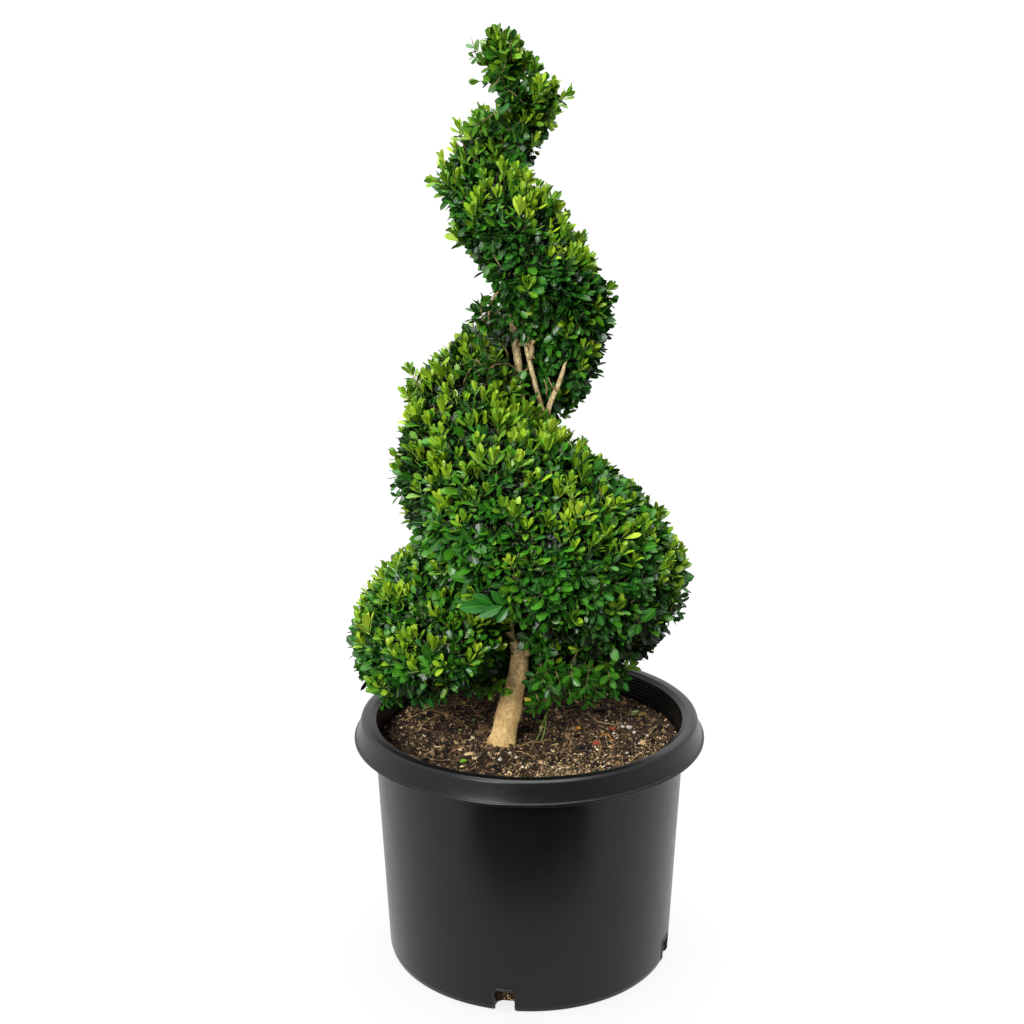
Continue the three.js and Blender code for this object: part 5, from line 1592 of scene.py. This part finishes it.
def litter():
    r = np.random.default_rng(77)
    bag = Bag()
    C = LT
    lumps(bag, 11500, r, (OCTA_V, OCTA_T), (0.0008, 0.0016), (0.6, 1.0), 0.24,
          [C["crumb_black"], C["crumb_dark"], C["crumb_brown"], C["crumb_mid"], C["chip_tan"]], [2.8, 3.2, 3.4, 2.4, 0.8])
    lumps(bag, 4200, r, (OCTA_V, OCTA_T), (0.0014, 0.0024), (0.5, 0.9), 0.28,
          [C["crumb_black"], C["crumb_dark"], C["crumb_brown"], C["crumb_mid"], C["chip_tan"]], [2.2, 3.2, 3.4, 1.8, 0.3])
    lumps(bag, 520, r, (ICO_V, ICO_T), (0.0022, 0.0036), (0.45, 0.8), 0.20,
          [C["crumb_black"], C["crumb_dark"], C["crumb_brown"], C["crumb_mid"]], [2.4, 3.5, 3.0, 0.8])
    lumps(bag, 1700, r, (CUBE_V, CUBE_T), (0.0009, 0.0021), (0.18, 0.45), 0.22,
          [C["chip_brown"], C["chip_dark"], C["chip_tan"], C["crumb_mid"], C["chip_pale"]], [3, 2.2, 2.0, 3, 1.0], tilt=0.5)
    lumps(bag, 130, r, (CUBE_V, CUBE_T), (0.0020, 0.0036), (0.16, 0.34), 0.24,
          [C["chip_brown"], C["chip_dark"], C["crumb_brown"], C["crumb_dark"], C["chip_tan"]], [1.6, 3, 3, 3, 0.5], tilt=0.35)
    # pale grit and moss lie mostly in front and to the right, the white bits too
    def sector(n, ang, spread, r0, r1):
        a = math.radians(ang) + r.normal(0, math.radians(spread), n)
        d = np.clip(r.uniform(r0, r1, n), 0, 0.183)
        return d * np.cos(a), d * np.sin(a)
    lumps(bag, 2300, r, (OCTA_V, OCTA_T), (0.0006, 0.0013), (0.6, 1.0), 0.22,
          [C["chip_pale"], C["fibre_pale"], C["moss"], C["chip_tan"], C["crumb_mid"]], [2.4, 1.6, 2.2, 3, 3], where=sector(2300, -68, 19, 0.085, 0.183), lift=0.7)
    lumps(bag, 900, r, (OCTA_V, OCTA_T), (0.0006, 0.0012), (0.6, 1.0), 0.22,
          [C["chip_pale"], C["chip_tan"], C["crumb_mid"]], [1.2, 3, 3], where=sector(900, -20, 40, 0.05, 0.18), lift=0.7)
    lumps(bag, 95, r, (ICO_V, ICO_T), (0.0007, 0.0014), (0.7, 1.0), 0.18, [C["perlite"]], [1], where=sector(95, -52, 34, 0.08, 0.182), lift=0.6)
    lumps(bag, 34, r, (ICO_V, ICO_T), (0.0007, 0.0014), (0.7, 1.0), 0.18, [C["perlite"]], [1], lift=0.6)
    # crumbs banked up against the foot of the trunk
    n = 420
    a = r.uniform(0, 2 * math.pi, n)
    d = 0.0185 + np.abs(r.normal(0, 0.004, n)) + 0.0065 * np.exp(-((np.degrees(a) - 192) / 26) ** 2)
    lumps(bag, n, r, (OCTA_V, OCTA_T), (0.0009, 0.0022), (0.6, 1.0), 0.22,
          [C["crumb_black"], C["crumb_dark"], C["crumb_brown"], C["crumb_mid"], C["chip_tan"]], [2.4, 3.5, 3, 2, 0.6],
          where=(-0.0325 + d * np.cos(a), -0.0268 + d * np.sin(a)), lift=1.3)

    def one(vt, x, y, size, yaw, tint, lean=0.15, lift=0.8):
        """A single chip lying at x, y."""
        V0, T0 = vt
        v = (V0 + r.normal(0, 0.13, V0.shape)) * np.array(size) * 0.5
        c0, s0 = math.cos(math.radians(yaw)), math.sin(math.radians(yaw))
        v = v @ np.array([[c0, s0, 0], [-s0, c0, 0], [0, 0, 1]])
        v[:, 2] += v[:, 0] * r.normal(0, lean) + v[:, 1] * r.normal(0, lean)
        h = float(soil_height(np.array([x]), np.array([y]))[0])
        bag.add(v + [x, y, h + 0.0008 + lift * size[2] * 0.5], T0, C[tint])

    for x, y, size, yaw, tint in (
        (0.062, 0.024, (0.0050, 0.0042, 0.0034), 20, "chip_orange"), (0.104, 0.024, (0.0075, 0.0034, 0.0026), -35, "chip_red"),
        (0.082, -0.018, (0.0085, 0.0052, 0.0030), 10, "chip_red"), (0.091, 0.078, (0.0210, 0.0150, 0.0026), 15, "crumb_dark"),
        (-0.0295, -0.084, (0.0150, 0.0075, 0.0018), 15, "crumb_dark"), (0.001, -0.101, (0.0130, 0.0090, 0.0020), -20, "crumb_brown"),
        (-0.089, -0.036, (0.0068, 0.0048, 0.0018), 10, "chip_pink"), (-0.081, -0.033, (0.0062, 0.0044, 0.0016), 55, "chip_pink"),
        (-0.084, -0.042, (0.0050, 0.0034, 0.0016), 100, "chip_pale"), (-0.092, -0.044, (0.0044, 0.0034, 0.0016), 20, "chip_pink"),
        (-0.074, -0.054, (0.0080, 0.0048, 0.0016), 30, "chip_pale"), (-0.052, -0.028, (0.0100, 0.0062, 0.0022), 10, "chip_pink"),
        (-0.0355, -0.075, (0.0040, 0.0026, 0.0020), 60, "perlite"), (-0.049, -0.0575, (0.0034, 0.0016, 0.0014), 75, "perlite"),
        (-0.024, -0.058, (0.0038, 0.0018, 0.0014), 40, "perlite"), (0.118, 0.030, (0.0040, 0.0030, 0.0024), 0, "perlite"),
        (0.126, 0.026, (0.0050, 0.0042, 0.0034), 20, "perlite"), (0.131, 0.012, (0.0034, 0.0028, 0.0024), 0, "perlite"),
        (0.146, -0.004, (0.0030, 0.0026, 0.0020), 0, "perlite"), (0.137, 0.070, (0.0080, 0.0060, 0.0046), 30, "fallen_pale"),
        (-0.130, 0.004, (0.0060, 0.0022, 0.0014), -60, "chip_pale"), (-0.112, -0.030, (0.0090, 0.0030, 0.0016), 20, "chip_pale"),
        (-0.140, 0.030, (0.0075, 0.0050, 0.0016), 50, "chip_tan"), (-0.064, -0.072, (0.0090, 0.0036, 0.0018), 20, "chip_pale"),
        (-0.056, 0.022, (0.0130, 0.0090, 0.0050), 20, "chip_brown"), (-0.060, 0.006, (0.0120, 0.0080, 0.0040), -30, "chip_brown"),
        (0.060, -0.060, (0.0060, 0.0026, 0.0012), 0, "chip_pale"), (0.030, -0.030, (0.0100, 0.0022, 0.0012), 8, "fibre_pale"),
        (0.106, -0.100, (0.0050, 0.0044, 0.0026), 20, "chip_orange"), (0.040, 0.060, (0.0080, 0.0040, 0.0016), 20, "chip_tan"),
    ):
        one((CUBE_V, CUBE_T), x, y, size, yaw, tint)
    # two small green leaves lying on the mix, and a few dry ones
    for x, y, L0, yaw, tint in ((-0.083, -0.086, 0.0095, 30, "fallen_bright"), (-0.069, 0.042, 0.0080, 100, "fallen_green"),
                                (0.020, 0.110, 0.013, 40, "fallen_leaf"), (-0.020, 0.090, 0.014, 200, "fallen_leaf"), (0.080, 0.120, 0.012, 120, "fallen_leaf"),
                                (-0.120, 0.060, 0.011, 70, "fallen_leaf"), (-0.090, 0.110, 0.013, 310, "fallen_leaf"), (0.140, 0.060, 0.012, 10, "fallen_leaf"),
                                (-0.088, 0.018, 0.0060, 60, "fallen_pale"), (0.150, -0.060, 0.010, 250, "fallen_leaf")):
        h = float(soil_height(np.array([x]), np.array([y]))[0])
        ax = np.array([[math.cos(math.radians(yaw)), math.sin(math.radians(yaw)), 0.12]])
        Vl, Tl, _ = lay_leaves(FINE, np.array([[x, y, h + 0.0030]]), unit(ax), unit(np.array([[0.15, -0.2, 1.0]])), np.array([L0]), np.array([L0 * 0.62]), np.array([-0.35]), np.array([0.05]))
        bag.add(Vl, Tl, C[tint])
    crumbs = bag.build("litter_crumbs", LITTER_MATS, flat=True)
    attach(crumbs, "root")
    bag = Bag()
    fibres(bag, 430, r, (0.006, 0.018), (0.00014, 0.00028), [C["fibre_tan"], C["fibre_pale"], C["fibre_brown"]], [3.4, 1.2, 5])
    fibres(bag, 60, r, (0.025, 0.055), (0.00022, 0.00040), [C["fibre_tan"], C["fibre_pale"], C["fibre_brown"]], [3, 0.8, 6], rmax=0.16, arch=0.4)

    def root(points, r0, r1, tint):
        pts = bezier_path([[x * 1000, y * 1000, 0] for x, y, _ in points], 14) * 0.001
        up = np.interp(np.linspace(0, 1, 14), np.linspace(0, 1, len(points)), [q[2] for q in points])
        pts[:, 2] = soil_height(pts[:, 0], pts[:, 1]) + 0.0008 + up
        pts += r.normal(0, 0.00025, pts.shape)
        bag.add(*tubes(pts[None], np.linspace(r0, r1, 14)[None], 5), C[tint])

    root([(-0.157, 0.049, 0.001), (-0.127, 0.075, 0.005), (-0.103, 0.062, 0.004), (-0.074, 0.0255, 0.001)], 0.00055, 0.00038, "fibre_tan")
    root([(-0.140, 0.012, 0.001), (-0.128, 0.040, 0.005), (-0.112, 0.070, 0.003)], 0.0005, 0.0003, "fibre_pale")
    root([(-0.112, 0.070, 0.003), (-0.098, 0.046, 0.005), (-0.082, 0.034, 0.001)], 0.0005, 0.0003, "fibre_tan")
    root([(-0.018, -0.040, 0.001), (0.000, -0.032, 0.003), (0.019, -0.019, 0.002), (0.030, -0.010, 0.0)], 0.0006, 0.0004, "fibre_tan")
    root([(-0.020, -0.050, 0.001), (0.000, -0.066, 0.002), (0.010, -0.080, 0.0)], 0.0005, 0.0003, "fibre_tan")
    root([(0.116, 0.040, 0.001), (0.090, 0.034, 0.004), (0.078, 0.052, 0.006), (0.072, 0.070, 0.001)], 0.0005, 0.0003, "fibre_pale")
    root([(0.160, 0.020, 0.001), (0.150, -0.004, 0.006), (0.140, -0.030, 0.004), (0.152, -0.060, 0.0)], 0.0005, 0.0003, "fibre_tan")
    root([(0.148, 0.066, 0.0), (0.152, 0.062, 0.010), (0.156, 0.060, 0.018)], 0.0005, 0.0002, "fibre_brown")
    root([(0.088, 0.010, 0.0), (0.096, 0.000, 0.004), (0.104, -0.016, 0.001)], 0.0006, 0.0004, "chip_orange")
    root([(-0.110, 0.100, 0.001), (-0.070, 0.112, 0.004), (-0.030, 0.096, 0.003), (0.000, 0.110, 0.0)], 0.0006, 0.0004, "fibre_brown")
    root([(-0.062, 0.060, 0.001), (-0.076, 0.084, 0.006), (-0.098, 0.100, 0.002)], 0.0006, 0.0004, "fibre_tan")
    root([(0.060, 0.100, 0.001), (0.084, 0.120, 0.005), (0.112, 0.110, 0.002)], 0.0006, 0.0004, "fibre_brown")
    # the thin pale seedling by the trunk, bent up towards the leaves
    for pts, rad in (([(0.0145, -0.020, 0.0), (0.0175, -0.021, 0.012), (0.0200, -0.022, 0.026), (0.0195, -0.024, 0.040), (0.0240, -0.027, 0.047)], (0.0009, 0.0007)),
                     ([(0.0080, -0.021, 0.0), (0.0110, -0.022, 0.010), (0.0150, -0.023, 0.024), (0.0195, -0.024, 0.038)], (0.0006, 0.0005))):
        root(pts, *rad, "seedling")
    root([(0.017, -0.0205, 0.020), (0.013, -0.024, 0.030), (0.010, -0.026, 0.028)], 0.0004, 0.0003, "seedling")
    # root ends and crumbs of the mix that show in the notches
    for ang in NOTCH:
        n = 9
        x0 = r.uniform(-11, 11, n)
        z0 = r.uniform(4.6, 15, n)
        lean = r.normal(0, 4.5, n)
        rise = r.uniform(-2.5, 6, n)
        t = np.linspace(0, 1, 5)[None]
        px = x0[:, None] + lean[:, None] * t
        pz = np.maximum(z0[:, None] + rise[:, None] * t, 4.2)
        py = -(159.2 + 3.2 * np.sin(t * math.pi) * r.uniform(0.3, 1.0, n)[:, None])
        c0, s0 = math.cos(math.radians(ang)), math.sin(math.radians(ang))
        P = np.stack([px * c0 - py * s0, px * s0 + py * c0, pz], -1) * 0.001
        V, T = tubes(P, r.uniform(0.00030, 0.00060, n)[:, None] * np.ones((1, 5)), 4)
        bag.add(V, T, r.choice([C["fibre_tan"], C["fibre_brown"], C["chip_brown"]], n)[T[:, 0] // 20])
    fib = bag.build("litter_fibres", LITTER_MATS)
    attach(fib, "root")


litter()

# ------------------------------------------------------------------ floor, light
scene = bpy.context.scene
floor_me = bpy.data.meshes.new("floor")
R_FLOOR = 60.0
seg = 96
pts = [(R_FLOOR * math.cos(i / seg * 2 * math.pi), R_FLOOR * math.sin(i / seg * 2 * math.pi), 0) for i in range(seg)]
floor_me.from_pydata(pts, [], [list(range(seg))])
floor = bpy.data.objects.new("floor", floor_me)
scene.collection.objects.link(floor)
fm = bpy.data.materials.new("pale_floor")
fm.use_nodes = True
fb = fm.node_tree.nodes["Principled BSDF"]
fb.inputs["Base Color"].default_value = (0.24, 0.24, 0.24, 1)
fb.inputs["Roughness"].default_value = 0.9
fb.inputs["Specular IOR Level"].default_value = 0.0
fb.inputs["Emission Color"].default_value = (1, 1, 1, 1)
fb.inputs["Emission Strength"].default_value = 0.82
floor_me.materials.append(fm)

world = bpy.data.worlds.new("studio")
scene.world = world
world.use_nodes = True
wt = world.node_tree
wn, wl = wt.nodes, wt.links
for n in list(wn):
    wn.remove(n)
out = wn.new("ShaderNodeOutputWorld")
coord = wn.new("ShaderNodeTexCoord")
sep = wn.new("ShaderNodeSeparateXYZ")
wl.new(coord.outputs["Generated"], sep.inputs[0])


def wmath(op, a, b=None):
    n = wn.new("ShaderNodeMath")
    n.operation = op
    for i, v in enumerate((a, b)):
        if v is None:
            continue
        if isinstance(v, (int, float)):
            n.inputs[i].default_value = v
        else:
            wl.new(v, n.inputs[i])
    return n.outputs[0]


zup = wmath("MAXIMUM", sep.outputs["Z"], 0.0)
side_left = wmath("MULTIPLY", wmath("POWER", wmath("MAXIMUM", wmath("MULTIPLY", sep.outputs["X"], -1.0), 0.0), 3.0), 0.86)
side_right = wmath("MULTIPLY", wmath("POWER", wmath("MAXIMUM", sep.outputs["X"], 0.0), 3.0), 0.63)
side = wmath("ADD", side_left, side_right)
behind = wmath("MULTIPLY", wmath("MAXIMUM", sep.outputs["Y"], 0.0), 0.85)
top = wmath("MULTIPLY", wmath("POWER", zup, 1.2), 1.0)
strength = wmath("ADD", wmath("ADD", wmath("ADD", side, top), behind), 0.12)
lit = wn.new("ShaderNodeBackground")
lit.inputs["Color"].default_value = (1, 1, 1, 1)
wl.new(strength, lit.inputs["Strength"])
white = wn.new("ShaderNodeBackground")
white.inputs["Color"].default_value = (1, 1, 1, 1)
white.inputs["Strength"].default_value = 1.1
path = wn.new("ShaderNodeLightPath")
mixw = wn.new("ShaderNodeMixShader")
wl.new(path.outputs["Is Camera Ray"], mixw.inputs[0])
wl.new(lit.outputs[0], mixw.inputs[1])
wl.new(white.outputs[0], mixw.inputs[2])
wl.new(mixw.outputs[0], out.inputs[0])


def area(name, pos, target, size, power):
    data = bpy.data.lights.new(name, "AREA")
    data.shape, data.size, data.size_y, data.energy = "RECTANGLE", size[0], size[1], power
    ob = bpy.data.objects.new(name, data)
    scene.collection.objects.link(ob)
    ob.location = pos
    ob.rotation_euler = (Vector(target) - Vector(pos)).to_track_quat("-Z", "Y").to_euler()
    return ob


lights = [
    area("key", (-1.50, -2.80, 2.21), (0, 0, 0.45), (1.04, 1.04), 148),
    area("top", (0.0, -0.4, 4.3), (0, 0, 0.5), (2.7, 2.2), 158),
    area("low_front", (-0.55, -2.5, 0.66), (0, 0, 0.38), (0.8, 0.6), 20),
]
# the lamps light the plant and the pot; the floor has the soft dome alone, so it stays even
lit_things = bpy.data.collections.new("lit")
# the white of the floor lights the pot and the mix, hardly the plant, which is dark between its leaves
near_floor = bpy.data.collections.new("near_floor")
for o in scene.objects:
    if o.type == "MESH" and not o.name.startswith(("leaves_", "twigs_")):
        near_floor.objects.link(o)
floor.light_linking.receiver_collection = near_floor
for o in scene.objects:
    if o.type == "MESH" and o is not floor:
        lit_things.objects.link(o)
# the low one reaches only the bark, which the crown would leave too dark
lit_bark = bpy.data.collections.new("lit_bark")
for o in scene.objects:
    if o.name.endswith("_bark"):
        lit_bark.objects.link(o)
for lamp in lights:
    lamp.visible_camera = False
    lamp.light_linking.receiver_collection = lit_bark if lamp.name == "low_front" else lit_things
# a black card lying on the floor in front, seen only in reflections, as in a studio
card_me = bpy.data.meshes.new("card")
card_me.from_pydata([(-0.32, -0.385, 0.004), (0.32, -0.385, 0.004), (1.9, -2.8, 0.004), (-1.9, -2.8, 0.004)], [], [(0, 1, 2, 3)])
card = bpy.data.objects.new("card", card_me)
card_me.materials.append(plain("card_black", (8, 8, 8), 1.0, 0.0))
scene.collection.objects.link(card)
card.visible_camera = card.visible_diffuse = card.visible_shadow = card.visible_transmission = card.visible_volume_scatter = False

scene.view_settings.view_transform = "Standard"
scene.view_settings.look = "None"
scene.view_settings.exposure = 0.0
scene.view_settings.gamma = 1.0
